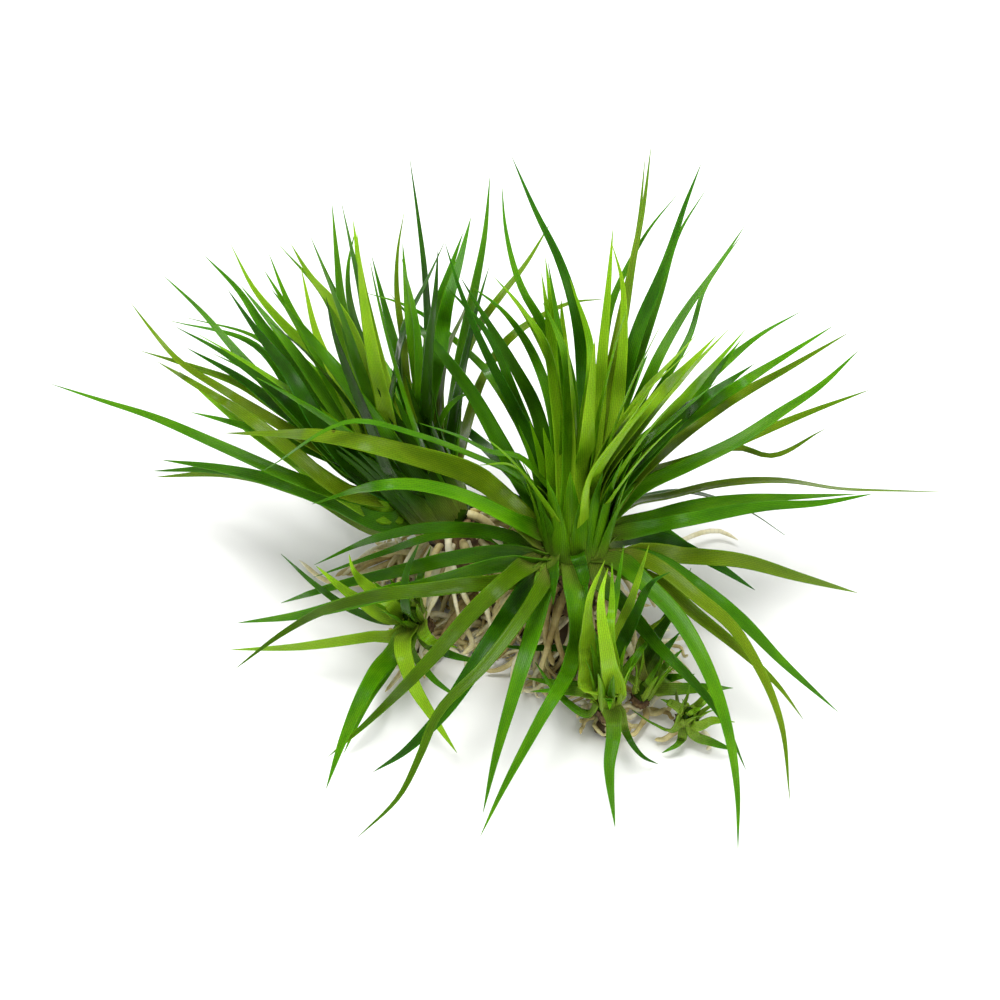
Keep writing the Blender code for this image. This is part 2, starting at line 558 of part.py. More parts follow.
def root_strands(dice):
    strands = []
    for source, count, stride in ROOT_SOURCES:
        for k in range(count):
            for _ in range(ROOT_TRIES):
                start = [source[0], source[1], max(source[2] * dice.uniform(0.35, 1.1), 2)]
                root = wandering_root(start, k * GOLDEN_TURN, stride, dice)
                if clears_stocks(root):
                    strands.append(root)
                    break
    for source, tip_height, pixels in SHOWN_ROOTS:
        start = np.array(ROOT_SOURCES[source][0])
        path = smooth_path([pixel_of(start * MM), *pixels], STRAND_POINTS)
        heights = np.linspace(start[2], tip_height, STRAND_POINTS) * MM
        strands.append(root_strand([on_ray(pixel, height) for pixel, height in zip(path, heights)]))
    return strands


def keep_clear_points():
    """Points inside the crowns and rootstocks, with the widths that other plants' leaves keep clear of."""
    points, widths, plants = [], [], []
    for name, plant in PLANTS.items():
        axis = unit(plant.axis)
        mid_stock = -(plant.crown_height + plant.stock_height) / 2
        for rise, width in ((0.7 * plant.crown_height, 1.6), (0, 2.1), (mid_stock, 2.1)):
            points.append((np.array(plant.centre) + axis * rise) * MM)
            widths.append(plant.crown_radius * width * MM)
            plants.append(name)
    for (x, y, z), reach, height in MAT_LUMPS:
        points.append(np.array([x, y, z + height * 0.35]) * MM)
        widths.append(min(*reach, height) * 1.7 * MM)
        plants.append("mat")
    return np.array(points), np.array(widths), plants


def close_pairs(points, widths, strand_points):
    """Pairs of points near each other. Past the strands' points come those inside the crowns and lumps."""
    tree = KDTree(len(points))
    for k, point in enumerate(points):
        tree.insert(point, k)
    tree.balance()
    found = []
    for k, point in enumerate(points):
        reach = SEARCH_REACH if k < strand_points else (widths[k] + SEARCH_REACH) / 2
        found += [(min(k, other), max(k, other)) for _, other, _ in tree.find_range(point, reach)]
    return np.unique(np.array(found), axis=0).T


def settle(strands):
    """Bends leaves along the line of sight until they pass clear of each other. The view stays as it is."""
    lines = np.array([strand.points for strand in strands])
    count = len(lines)
    fixed, fixed_widths, fixed_plants = keep_clear_points()
    owner = np.append(np.repeat(np.arange(count), STRAND_POINTS), count + np.arange(len(fixed)))
    widths = np.concatenate([np.concatenate([strand.widths for strand in strands]), fixed_widths])
    plant_names = sorted({*fixed_plants, *(strand.plant for strand in strands)})
    plants = [strand.plant for strand in strands] + fixed_plants
    plant_of = np.array([plant_names.index(plant) for plant in plants])
    loose = np.zeros(len(owner))
    ease = np.clip((np.arange(STRAND_POINTS) - HELD_POINTS + 1) / 4, 0, 1)
    for k, strand in enumerate(strands):
        if strand.kind == "leaf":
            loose[k * STRAND_POINTS : (k + 1) * STRAND_POINTS] = ease
    is_root = np.array([strand.kind == "root" for strand in strands] + [p == "mat" for p in fixed_plants])
    for k in range(SETTLE_SEARCHES * ROUNDS_PER_SEARCH):
        flat = np.concatenate([lines.reshape(-1, 3), fixed])
        sight = flat - EYE
        sight /= np.linalg.norm(sight, axis=1)[:, None]
        if k % ROUNDS_PER_SEARCH == 0:
            a, b = close_pairs(flat, widths, count * STRAND_POINTS)
            both_roots = is_root[owner[a]] & is_root[owner[b]]
            apart = (owner[a] != owner[b]) & ~both_roots & (loose[a] + loose[b] > 0)
            a, b = a[apart], b[apart]
            same = plant_of[owner[a]] == plant_of[owner[b]]
            keep = ~(same & ((a >= count * STRAND_POINTS) | (b >= count * STRAND_POINTS)))
            a, b, same = a[keep], b[keep], same[keep]
            share = np.where(same, CLEAR_OF_OWN, CLEAR_OF_OTHERS)
            room = np.where(same, OWN_THICKNESS_ROOM, THICKNESS_ROOM)
            clear = (widths[a] + widths[b]) * share + room
            _, which = np.unique(owner[a] * (count + len(fixed)) + owner[b], return_inverse=True)
        gap = flat[b] - flat[a]
        depth = (gap * sight[a]).sum(axis=1)
        aside = (gap**2).sum(axis=1) - depth**2
        needed = np.sqrt(np.maximum(clear**2 - aside, 0))
        order = np.where(np.bincount(which, weights=depth * (needed > 0))[which] < 0, -1.0, 1.0)
        short = np.maximum(needed - order * depth, 0) * order
        total = loose[a] + loose[b]
        away = np.zeros(len(flat))
        near = np.zeros(len(flat))
        for ends, push in ((b, short * loose[b] / total), (a, -short * loose[a] / total)):
            np.maximum.at(away, ends, push)
            np.minimum.at(near, ends, push)
        move = ((away + near) * loose)[: count * STRAND_POINTS].reshape(count, STRAND_POINTS)
        padded = np.pad(move, ((0, 0), (2, 2)), mode="edge")
        move = sum(w * padded[:, k : k + STRAND_POINTS] for k, w in enumerate(SETTLE_SPREAD))
        rays = sight[: count * STRAND_POINTS].reshape(lines.shape)
        lines = lines + rays * (move * SETTLE_STEP)[:, :, None]
        sunk = np.maximum(LEAF_FLOOR - lines[:, :, 2], 0) * loose[: count * STRAND_POINTS].reshape(count, -1)
        lines += rays * (sunk / rays[:, :, 2])[:, :, None]
    return [strand._replace(points=line) for strand, line in zip(strands, lines)]


def all_strands():
    """Every leaf and root in its settled place."""
    dice = random.Random(7)
    strands = []
    for name, plant in PLANTS.items():
        strands += [read_strand(name, plant, leaf_read) for leaf_read in plant.leaves]
        for whorl in plant.whorls:
            strands += whorl_strands(name, plant, whorl, dice)
    return settle(strands + root_strands(dice))


def along_strand(strand, stations):
    """Points, directions, sideways directions and widths at shares of the strand's length."""
    ends = np.concatenate([[0], np.cumsum(np.linalg.norm(np.diff(strand.points, axis=0), axis=1))])
    ends /= ends[-1]
    points = np.array([np.interp(stations, ends, strand.points[:, k]) for k in range(3)]).T
    courses = [unit(course) for course in np.gradient(strand.points, ends, axis=0)]
    side = unit(np.cross(strand.facing, strand.points[-1] - strand.points[0]))
    across = [unit(side - courses[0] * (side @ courses[0]))]
    for course in courses[1:]:
        across.append(unit(across[-1] - course * (across[-1] @ course)))
    nearest = [int(np.abs(ends - station).argmin()) for station in stations]
    widths = np.interp(stations, ends, strand.widths)
    return points, [courses[k] for k in nearest], [across[k] for k in nearest], widths


def mesh_object(name, rings, tip=None):
    """A closed body through rings of points, with flat ends or a tip beyond the last ring."""
    sides = len(rings[0])
    points = [point for ring in rings for point in ring]
    faces = []
    for k in range(len(rings) - 1):
        for i in range(sides):
            a, b = k * sides + i, k * sides + (i + 1) % sides
            faces += [(a, b, b + sides), (a, b + sides, a + sides)]
    faces.append(tuple(reversed(range(sides))))
    last = (len(rings) - 1) * sides
    if tip is None:
        faces.append(tuple(range(last, last + sides)))
    else:
        faces += [(last + i, last + (i + 1) % sides, len(points)) for i in range(sides)]
        points.append(tip)
    volume = sum(np.dot(points[f[0]], np.cross(points[f[1]], points[f[-1]])) for f in faces if len(f) == 3)
    if volume < 0:
        faces = [tuple(reversed(face)) for face in faces]
    mesh = bpy.data.meshes.new(name)
    mesh.from_pydata([Vector(point) for point in points], [], faces)
    mesh.update()
    made = bpy.data.objects.new(name, mesh)
    bpy.context.scene.collection.objects.link(made)
    return made


def leaf_blade(strand):
    """A blade with a flat upper face over a keel."""
    rings = []
    chord = strand.points[-1] - strand.points[0]
    bow = np.linalg.norm(np.cross(strand.points - strand.points[0], unit(chord)), axis=1).max()
    stations = STRAIGHT_LEAF_STATIONS if bow < STRAIGHT_BEND * np.linalg.norm(chord) else LEAF_STATIONS
    depths = np.interp(stations, (0, 1), (LEAF_DEPTH, TIP_DEPTH))
    for point, course, across, width, depth in zip(*along_strand(strand, stations), depths):
        face = np.cross(course, across)
        middle = point + face * depth * 0.4
        rings.append([middle + across * width / 2, middle - across * width / 2, middle - face * depth])
    return mesh_object("blade", rings)


def root_tube(strand):
    rings = []
    for point, course, across, width in zip(*along_strand(strand, ROOT_STATIONS)):
        upward = np.cross(across, course)
        turns = [math.radians(90 + 120 * k) for k in range(3)]
        rings.append([point + (across * math.cos(t) + upward * math.sin(t)) * width * 0.58 for t in turns])
    return mesh_object("root", rings)


def turned(name, foot, axis, profile, sides, reach=(1, 1), tip=None):
    """A body turned about an axis: its profile is pairs of height and radius above the foot, in mm."""
    axis = unit(axis)
    side = unit(np.cross([0, 1, 0], axis))
    back = np.cross(axis, side)
    rings = []
    for height, radius in profile:
        ring = []
        for k in range(sides):
            turn = math.tau * k / sides
            outward = side * math.cos(turn) * reach[0] + back * math.sin(turn) * reach[1]
            ring.append(np.array(foot) * MM + (axis * height + outward * radius) * MM)
        rings.append(ring)
    return mesh_object(name, rings, None if tip is None else (np.array(foot) + axis * tip) * MM)


def drop_scraps(mesh):
    """Keeps the largest connected shell, so that loose scraps and sealed hollows go."""
    shape = bmesh.new()
    shape.from_mesh(mesh)
    left = set(shape.faces)
    shells = []
    while left:
        shell = {left.pop()}
        edge = list(shell)
        while edge:
            face = edge.pop()
            for side in face.edges:
                for other in side.link_faces:
                    if other in left:
                        left.discard(other)
                        shell.add(other)
                        edge.append(other)
        shells.append(shell)
    shells.sort(key=len, reverse=True)
    for shell in shells[1:]:
        bmesh.ops.delete(shape, geom=list(shell), context="FACES")
    shape.to_mesh(mesh)
    shape.free()


def fuse(body, others):
    """Joins the other bodies to the first one by one Boolean union, and removes them.

    The exact solver leaves some blades of the offsets unjoined, so this is the manifold one.
    """
    together = bpy.data.collections.new("together")
    bpy.context.scene.collection.children.link(together)
    for other in others:
        bpy.context.scene.collection.objects.unlink(other)
        together.objects.link(other)
    union = body.modifiers.new("Union", "BOOLEAN")
    union.operation = "UNION"
    union.operand_type = "COLLECTION"
    union.collection = together
    union.solver = "MANIFOLD"
    bpy.context.view_layer.update()
    fused = bpy.data.meshes.new_from_object(body.evaluated_get(bpy.context.evaluated_depsgraph_get()))
    body.modifiers.clear()
    drop_scraps(fused)
    body.data = fused
    for other in others:
        bpy.data.objects.remove(other)
    bpy.data.collections.remove(together)
    return body


def finish(thing, name, colour, roughness):
    """Gives a piece its one plain material. The colour is an sRGB hex value."""
    material = bpy.data.materials.new(name)
    material.use_nodes = True
    shader = material.node_tree.nodes["Principled BSDF"]
    shares = [int(colour[k : k + 2], 16) / 255 for k in (1, 3, 5)]
    linear = [s / 12.92 if s <= 0.04045 else ((s + 0.055) / 1.055) ** 2.4 for s in shares]
    shader.inputs["Base Color"].default_value = (*linear, 1)
    shader.inputs["Roughness"].default_value = roughness
    material.diffuse_color = (*linear, 1)
    thing.data.materials.clear()
    thing.data.materials.append(material)


def make_rosette(name, plant, strands):
    """The leaves fused to their crown, which widens upward from its flat foot."""
    half = plant.crown_height / 2
    foot = np.array(plant.centre) - unit(plant.axis) * half
    radius = plant.crown_radius
    profile = ((0, radius * 0.74), (half * 0.9, radius * 0.9), (half * 2, radius * 0.94))
    crown = turned(LEAF_NODES[name], foot, plant.axis, profile, CROWN_SIDES, tip=half * 2.9)
    rosette = fuse(crown, [leaf_blade(strand) for strand in strands])
    if name in YOUNG_PLANTS:
        finish(rosette, "young leaf", "#7ab622", 0.35)
    else:
        finish(rosette, "leaf", "#458f16", 0.35)


def stock_span(plant):
    """The places of a rootstock's foot and top on its plant's axis, in mm."""
    axis = unit(plant.axis)
    top = np.array(plant.centre) - axis * (plant.crown_height / 2 + JOINT_GAP / MM)
    return top - axis * plant.stock_height, top


def make_rootstock(name, plant, dice):
    """The short brown stem under a crown, ringed by the scars of old leaves."""
    foot, _ = stock_span(plant)
    height = plant.stock_height
    radius = plant.crown_radius * STOCK_SHARE
    profile = [(height * share, radius * dice.uniform(0.86, 1.0)) for share in (0, 0.3, 0.55, 0.8, 1)]
    stock = turned(f"{name}_rootstock", foot, plant.axis, profile, STOCK_SIDES)
    finish(stock, "rootstock", "#5b4322", 0.8)


def make_root_mat(strands):
    """The shared mat of roots on its matted middle, with a flat spot to rest on and seats for the stocks."""
    pieces = []
    for foot, reach, height in MAT_LUMPS:
        profile = ((0, 0.82), (height * 0.4, 1), (height * 0.78, 0.86), (height, 0.6))
        pieces.append(turned("lump", foot, (0, 0, 1), profile, LUMP_SIDES, reach=reach))
    for plant in PLANTS.values():
        foot, _ = stock_span(plant)
        axis = unit(plant.axis)
        seat = foot - axis * JOINT_GAP / MM
        depth = min((seat[2] - SEAT_FLOOR) / axis[2], DEEPEST_SEAT)
        radius = plant.crown_radius * STOCK_SHARE
        profile = ((-depth, radius * 0.9), (-depth * 0.5, radius * 1.05), (0, radius * 0.86))
        pieces.append(turned("seat", seat, plant.axis, profile, LUMP_SIDES))
    for start, end, radius in MAT_RUNNERS:
        course = np.subtract(end, start)
        profile = ((0, radius), (np.linalg.norm(course), radius * 0.8))
        pieces.append(turned("runner", start, course, profile, RUNNER_SIDES))
    body, *others = pieces
    body.name = "root_mat"
    fuse(body, others + [root_tube(strand) for strand in strands])
    finish(body, "root", "#c2b698", 0.7)


def main():
    for thing in list(bpy.data.objects):
        bpy.data.objects.remove(thing)
    dice = random.Random(11)
    strands = all_strands()
    for name, plant in PLANTS.items():
        make_rosette(name, plant, [s for s in strands if s.plant == name])
        make_rootstock(name, plant, dice)
    make_root_mat([s for s in strands if s.kind == "root"])


if __name__ == "__main__":
    main()
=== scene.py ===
# %% [markdown]
# # A clump of pipewort
# Pipewort is a water plant that looks like tufts of grass. This lesson grows one clump of it leaf by leaf.
# The solids of the frame already have its six rosettes, their rootstocks and the mat of roots. Each of them is
# replaced here by a finer mesh in the same place: channelled leaves with hair-thin tips, scarred stocks, and
# hundreds of roots. First the frame is loaded, and its box is kept, to be printed at the end beside the box of the
# finer meshes. First the frame is loaded, and its box is kept, because nothing may grow past it.

# %% Load the frame
import math
import random
from typing import NamedTuple

import bpy
import numpy as np
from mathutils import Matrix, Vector, noise
from mathutils.kdtree import KDTree


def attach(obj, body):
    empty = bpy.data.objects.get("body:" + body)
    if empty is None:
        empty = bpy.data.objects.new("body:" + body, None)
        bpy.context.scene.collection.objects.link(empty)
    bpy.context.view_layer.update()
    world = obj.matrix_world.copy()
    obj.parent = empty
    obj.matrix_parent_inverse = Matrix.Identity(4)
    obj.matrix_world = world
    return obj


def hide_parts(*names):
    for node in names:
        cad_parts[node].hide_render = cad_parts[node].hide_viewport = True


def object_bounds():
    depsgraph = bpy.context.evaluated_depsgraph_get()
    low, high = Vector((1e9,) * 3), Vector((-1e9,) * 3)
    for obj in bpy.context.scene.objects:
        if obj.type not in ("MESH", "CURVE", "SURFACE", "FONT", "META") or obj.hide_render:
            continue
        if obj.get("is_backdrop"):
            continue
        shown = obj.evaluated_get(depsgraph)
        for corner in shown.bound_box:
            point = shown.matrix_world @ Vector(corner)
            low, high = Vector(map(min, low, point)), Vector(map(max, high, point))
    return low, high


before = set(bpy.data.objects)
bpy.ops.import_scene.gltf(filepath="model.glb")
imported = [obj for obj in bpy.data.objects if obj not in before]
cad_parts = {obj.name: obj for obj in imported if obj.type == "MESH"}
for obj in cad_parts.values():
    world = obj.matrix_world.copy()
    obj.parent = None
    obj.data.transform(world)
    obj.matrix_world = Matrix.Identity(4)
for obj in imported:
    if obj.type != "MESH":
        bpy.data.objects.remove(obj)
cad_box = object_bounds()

MM = 0.001
print("solids of the frame:", sorted(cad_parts))

# %% [markdown]
# ## The view
# The clump is seen from 45 degrees above, from the front. Where a leaf runs in the picture is known in pixels,
# and its height above the table is known in millimetres, so each place on it is where a line of sight meets a
# height. The camera is put together from the same values, so what is placed by a pixel lands on that pixel.

# %% Lines of sight
PIXEL = 0.224 * MM
VIEW_RISE = math.radians(45)
VIEW_DISTANCE = 0.75
PICTURE_PIXELS = 1000
PHOTO_CENTRE = (500, 500)
MAIN_CROWN_PIXEL = (575, 545)
MAIN_CROWN = np.array([0, 0, 33]) * MM
RIGHT = np.array([1.0, 0, 0])
UP = np.array([0, math.sin(VIEW_RISE), math.cos(VIEW_RISE)])
TOWARDS_EYE = np.array([0, -math.cos(VIEW_RISE), math.sin(VIEW_RISE)])


def unit(vector):
    vector = np.asarray(vector, float)
    return vector / np.linalg.norm(vector)


def on_view_plane(pixel):
    across = (pixel[0] - MAIN_CROWN_PIXEL[0]) * PIXEL
    upward = (MAIN_CROWN_PIXEL[1] - pixel[1]) * PIXEL
    return MAIN_CROWN + RIGHT * across + UP * upward


EYE = on_view_plane(PHOTO_CENTRE) + TOWARDS_EYE * VIEW_DISTANCE


def on_ray(pixel, height):
    """The point at this height that the picture shows at this pixel."""
    ray = on_view_plane(pixel) - EYE
    return EYE + ray * ((height - EYE[2]) / ray[2])


def pixel_of(point):
    ray = point - EYE
    on_plane = EYE + ray * (-VIEW_DISTANCE / (ray @ TOWARDS_EYE)) - MAIN_CROWN
    return (
        MAIN_CROWN_PIXEL[0] + on_plane @ RIGHT / PIXEL,
        MAIN_CROWN_PIXEL[1] - on_plane @ UP / PIXEL,
    )


camera = bpy.data.objects.new("camera", bpy.data.cameras.new("camera"))
camera.location = Vector(EYE)
camera.rotation_euler = (math.pi / 2 - VIEW_RISE, 0, 0)
camera.data.lens = camera.data.sensor_width * VIEW_DISTANCE / (PICTURE_PIXELS * PIXEL)
camera.data.clip_start = 0.01
bpy.context.scene.collection.objects.link(camera)
bpy.context.scene.camera = camera
print("camera at", [round(value, 3) for value in camera.location], "lens", round(camera.data.lens, 1), "mm")

# %% [markdown]
# ## The leaves, one by one
# A real clump isn't even: old leaves arch over and lie down, young ones stand up in the heart, and some are
# bent or have turned olive. A rule alone would give a dandelion clock, so each leaf that shows is written down:
# its tone, the height of its tip, its width, and the pixels it passes on the way out. The leaves that others
# hide follow a rule, the golden angle, which is also how the plant itself spaces them round its crown.

# %% Leaf tables
# A leaf's tone is partly its own colour (young, aged or olive) and partly painted shade and painted light: deep and
# dark leaves carry the painted shade of the clump's inside, bright ones painted light where light shines through them.
SHADE_AND_AGE_TONES = {
    "deep": 0.12, "dark": 0.26, "mid": 0.5, "light": 0.8, "bright": 0.98, "olive": 0.6, "old": 0.35, "moss": 0.3,
}
OLIVE_TONES = {"olive": 0.75, "old": 1.0, "moss": 0.5}


class Leaf(NamedTuple):
    """A leaf of the picture. Heights, widths and the arch are in mm."""

    tone: str
    tip_height: float
    width: float
    pixels: tuple
    arch: float = None


class Whorl(NamedTuple):
    """Leaves set by rule. Turns and tilts from the axis are in degrees, lengths and the width in mm."""

    count: int
    turns: tuple
    tilts: tuple
    lengths: tuple
    width: float
    tones: tuple


class Plant(NamedTuple):
    """A rosette on its crown, in mm."""

    centre: tuple
    axis: tuple
    crown_radius: float
    crown_height: float
    stock_height: float
    leaves: tuple
    whorls: tuple


class Strand(NamedTuple):
    """A leaf or root as its middle line, with its widths, its plant and the side that its face looks to."""

    points: np.ndarray
    widths: np.ndarray
    plant: str
    facing: np.ndarray
    kind: str
    tone: str


def leaf(tone, tip_height, width, *pixels, arch=None):
    return Leaf(tone, tip_height, width, pixels, arch)

# The main rosette's leaves, as the photograph shows them
MAIN_BACK_LEAVES = (
    leaf("dark", 92, 4.2, (583, 385), (575, 310), (560, 262), (535, 210), (512, 157)),
    leaf("mid", 88, 3.6, (560, 400), (540, 320), (525, 295), (505, 225), (502, 186)),
    leaf("dark", 80, 3.2, (530, 440), (510, 400), (480, 340), (460, 290), (445, 243)),
    leaf("dark", 64, 4.4, (525, 490), (500, 445), (470, 392), (440, 352), (410, 317), (390, 294)),
    leaf("mid", 58, 3.0, (515, 415), (490, 375), (460, 345), (430, 319), (400, 303), (366, 293)),
    leaf("deep", 84, 4.6, (545, 450), (535, 410), (510, 360), (480, 310), (461, 278)),
    leaf("dark", 72, 3.4, (520, 410), (485, 330), (445, 285)),
    leaf("mid", 78, 3.8, (545, 385), (525, 340), (500, 308), (472, 287)),
    leaf("light", 82, 3.8, (550, 360), (535, 330), (515, 300), (494, 277)),
    leaf("light", 88, 3.6, (555, 400), (545, 345), (503, 286)),
    leaf("mid", 92, 3.8, (572, 450), (560, 340), (548, 262)),
    leaf("light", 94, 3.8, (585, 430), (590, 345), (570, 279)),
    leaf("bright", 96, 3.8, (590, 480), (598, 420), (603, 350), (609, 280), (613, 228)),
    leaf("bright", 88, 4.2, (605, 470), (620, 380), (624, 320), (622, 280), (612, 244)),
    leaf("olive", 93, 3.2, (595, 480), (612, 380), (625, 310), (633, 260), (643, 210), (651, 147)),
    leaf("olive", 90, 2.8, (600, 420), (620, 320), (638, 230), (645, 159)),
    leaf("mid", 84, 3.4, (600, 400), (613, 300), (630, 262), (650, 228), (676, 196)),
    leaf("dark", 90, 4.4, (600, 470), (622, 385), (640, 325), (665, 265), (685, 205), (701, 164)),
    leaf("mid", 80, 3.4, (600, 470), (622, 410), (640, 355), (660, 295), (680, 232), (705, 191)),
    leaf("mid", 78, 3.6, (600, 480), (640, 400), (660, 355), (685, 312), (715, 270), (744, 227)),
    leaf("mid", 72, 2.4, (620, 450), (665, 380), (690, 335), (705, 288), (722, 262), (741, 236)),
)
MAIN_HEART_LEAVES = (
    leaf("mid", 88, 4.8, (570, 440), (562, 345), (543, 303)),
    leaf("bright", 88, 4.8, (574, 440), (567, 339)),
    leaf("bright", 92, 4.8, (588, 440), (595, 340)),
    leaf("bright", 84, 4.9, (600, 490), (640, 430), (690, 370), (728, 330)),
    leaf("bright", 87, 4.9, (600, 480), (640, 420), (716, 336)),
    leaf("light", 78, 4.9, (610, 490), (660, 430), (745, 330)),
    leaf("mid", 73, 4.8, (615, 495), (670, 430), (741, 340)),
    leaf("bright", 89, 4.8, (600, 470), (640, 400), (695, 336)),
    leaf("bright", 91, 4.8, (595, 470), (630, 410), (690, 350)),
    leaf("dark", 74, 4.9, (620, 480), (650, 450), (690, 410), (754, 364)),
    leaf("dark", 69, 4.9, (620, 480), (680, 420), (743, 373)),
    leaf("mid", 80, 4.8, (610, 480), (650, 440), (715, 383)),
    leaf("bright", 91, 4.8, (590, 480), (630, 420), (659, 377)),
    leaf("bright", 86, 4.8, (592, 490), (620, 440), (659, 392)),
)
MAIN_RIGHT_LEAVES = (
    leaf("mid", 62, 3.8, (620, 470), (685, 405), (720, 368), (760, 335), (800, 312)),
    leaf("mid", 55, 3.6, (640, 460), (710, 405), (750, 378), (790, 353), (833, 326)),
    leaf("olive", 50, 3.2, (640, 475), (690, 430), (735, 398), (790, 367), (848, 333)),
    leaf("mid", 52, 3.6, (640, 490), (690, 465), (740, 440), (780, 413), (820, 386), (858, 351)),
    leaf("olive", 42, 3.0, (640, 480), (700, 458), (750, 437), (810, 412), (869, 390)),
    leaf("olive", 36, 3.0, (640, 490), (700, 460), (740, 448), (766, 456), (825, 429)),
    leaf("olive", 14, 3.0, (620, 510), (670, 497), (720, 485), (780, 481), (840, 489), (900, 491), (945, 492)),
    leaf("mid", 22, 3.4, (620, 530), (650, 520), (690, 508), (740, 500), (800, 497), (858, 494)),
    leaf("mid", 17, 3.2, (620, 535), (700, 518), (760, 507), (820, 503), (872, 494)),
    leaf("dark", 16, 3.6, (610, 510), (640, 500), (680, 492), (720, 500), (750, 512), (785, 535)),
    leaf("dark", 14, 3.4, (600, 550), (620, 538), (660, 538), (690, 550), (720, 567), (755, 590)),
    leaf("mid", 21, 3.2, (604, 541), (633, 530), (655, 528), (680, 540), (700, 552)),
    leaf("olive", 2, 4.0, (610, 560), (640, 550), (680, 554), (740, 560), (800, 577), (858, 593)),
)
MAIN_FRONT_LEAVES = (
    leaf("mid", 1, 4.4, (610, 560), (650, 562), (700, 590), (740, 620), (780, 660), (838, 712)),
    leaf("olive", 1, 3.0, (640, 560), (700, 600), (730, 625), (757, 665), (780, 720), (790, 800)),
    leaf("olive", 4, 3.4, (620, 570), (650, 580), (700, 618), (740, 650), (780, 688), (803, 719)),
    leaf("mid", 1, 3.6, (610, 560), (645, 585), (675, 615), (700, 655), (725, 720), (737, 790), (738, 850)),
    leaf("dark", 3, 3.2, (600, 580), (620, 600), (660, 648), (690, 678), (722, 718), (746, 770)),
    leaf("mid", 1, 3.8, (572, 580), (578, 620), (570, 665), (540, 720), (500, 795), (480, 837)),
    leaf("mid", 1, 3.8, (550, 570), (545, 585), (535, 625), (515, 690), (495, 760), (483, 813)),
    leaf("dark", 1, 4.8, (550, 570), (530, 590), (490, 645), (437, 720), (400, 755), (373, 772)),
    leaf("moss", 1, 2.6, (540, 590), (485, 665), (437, 715), (420, 755), (400, 795), (357, 838)),
    leaf("moss", 1, 3.8, (530, 565), (480, 605), (430, 660), (370, 720), (328, 757)),
    leaf("bright", 28, 3.0, (560, 540), (545, 525), (525, 519), (510, 528), (504, 540)),
    leaf("dark", 29, 3.0, (557, 558), (555, 580), (553, 605), arch=6),
    leaf("dark", 30, 3.0, (578, 556), (585, 580), (588, 602), arch=6),
)
MAIN_LEFT_LEAVES = (
    leaf("mid", 6, 4.2, (550, 555), (520, 550), (460, 555), (400, 570), (330, 587), (281, 603)),
    leaf("mid", 2, 4.4, (550, 560), (510, 560), (430, 582), (360, 600), (300, 615), (237, 623)),
    leaf("moss", 1, 3.2, (540, 565), (450, 587), (370, 597), (320, 612), (280, 635), (235, 669)),
    leaf("mid", 16, 2.8, (550, 550), (510, 535), (430, 527), (370, 540), (314, 565)),
    leaf("mid", 10, 2.0, (540, 550), (480, 533), (437, 535), (385, 552), (314, 577)),
    leaf("olive", 44, 4.2, (540, 540), (520, 520), (480, 480), (410, 455), (330, 437), (225, 433), arch=18),
    leaf("mid", 36, 3.0, (540, 535), (515, 522), (450, 492), (400, 484), (370, 487), (312, 504), arch=17),
    leaf("mid", 47, 1.8, (540, 500), (520, 480), (470, 455), (410, 433), (358, 421), (264, 470), arch=19),
    leaf("mid", 65, 3.4, (555, 500), (540, 480), (520, 458), (490, 452), (460, 437), (419, 423), arch=8),
    leaf("light", 52, 3.0, (555, 510), (530, 480), (510, 465), (480, 465), arch=6),
)

# The left rosette's leaves
LEFT_OUTER_LEAVES = (
    leaf("mid", 30, 2.8, (340, 495), (300, 481), (220, 446), (150, 416), (100, 400), (51, 384)),
    leaf("mid", 20, 3.4, (400, 520), (330, 500), (280, 482), (220, 468), (162, 460)),
    leaf("dark", 14, 3.2, (395, 518), (320, 496), (220, 470), (152, 471)),
    leaf("olive", 9, 3.2, (395, 526), (300, 489), (230, 474), (155, 477)),
    leaf("olive", 55, 3.0, (370, 475), (280, 425), (220, 388), (180, 362), (150, 328), (131, 303)),
    leaf("olive", 46, 3.2, (380, 480), (280, 410), (240, 384), (200, 369), (141, 351)),
    leaf("olive", 40, 3.4, (340, 490), (290, 450), (240, 412), (200, 387), (158, 362)),
    leaf("light", 32, 4.6, (390, 512), (345, 492), (295, 458), (238, 418), (180, 372)),
    leaf("mid", 60, 3.4, (350, 470), (300, 420), (235, 350), (200, 310), (164, 276)),
    leaf("mid", 54, 3.2, (340, 450), (255, 337), (188, 318)),
    leaf("mid", 50, 3.2, (330, 450), (250, 342), (171, 321)),
    leaf("dark", 58, 4.0, (370, 480), (305, 420), (280, 395), (225, 354), (176, 327)),
    leaf("deep", 50, 4.2, (380, 490), (310, 430), (270, 400), (240, 378), (187, 348)),
    leaf("mid", 44, 3.4, (360, 480), (250, 372), (214, 354)),
    leaf("olive", 62, 2.8, (455, 450), (465, 360), (480, 325), (500, 297), (525, 265), (550, 224)),
    leaf("olive", 48, 2.8, (455, 480), (467, 430), (485, 375), (510, 338), (540, 317), (570, 303), (604, 299)),
    leaf("mid", 52, 2.4, (438, 460), (438, 430), (460, 397), (480, 391)),
)
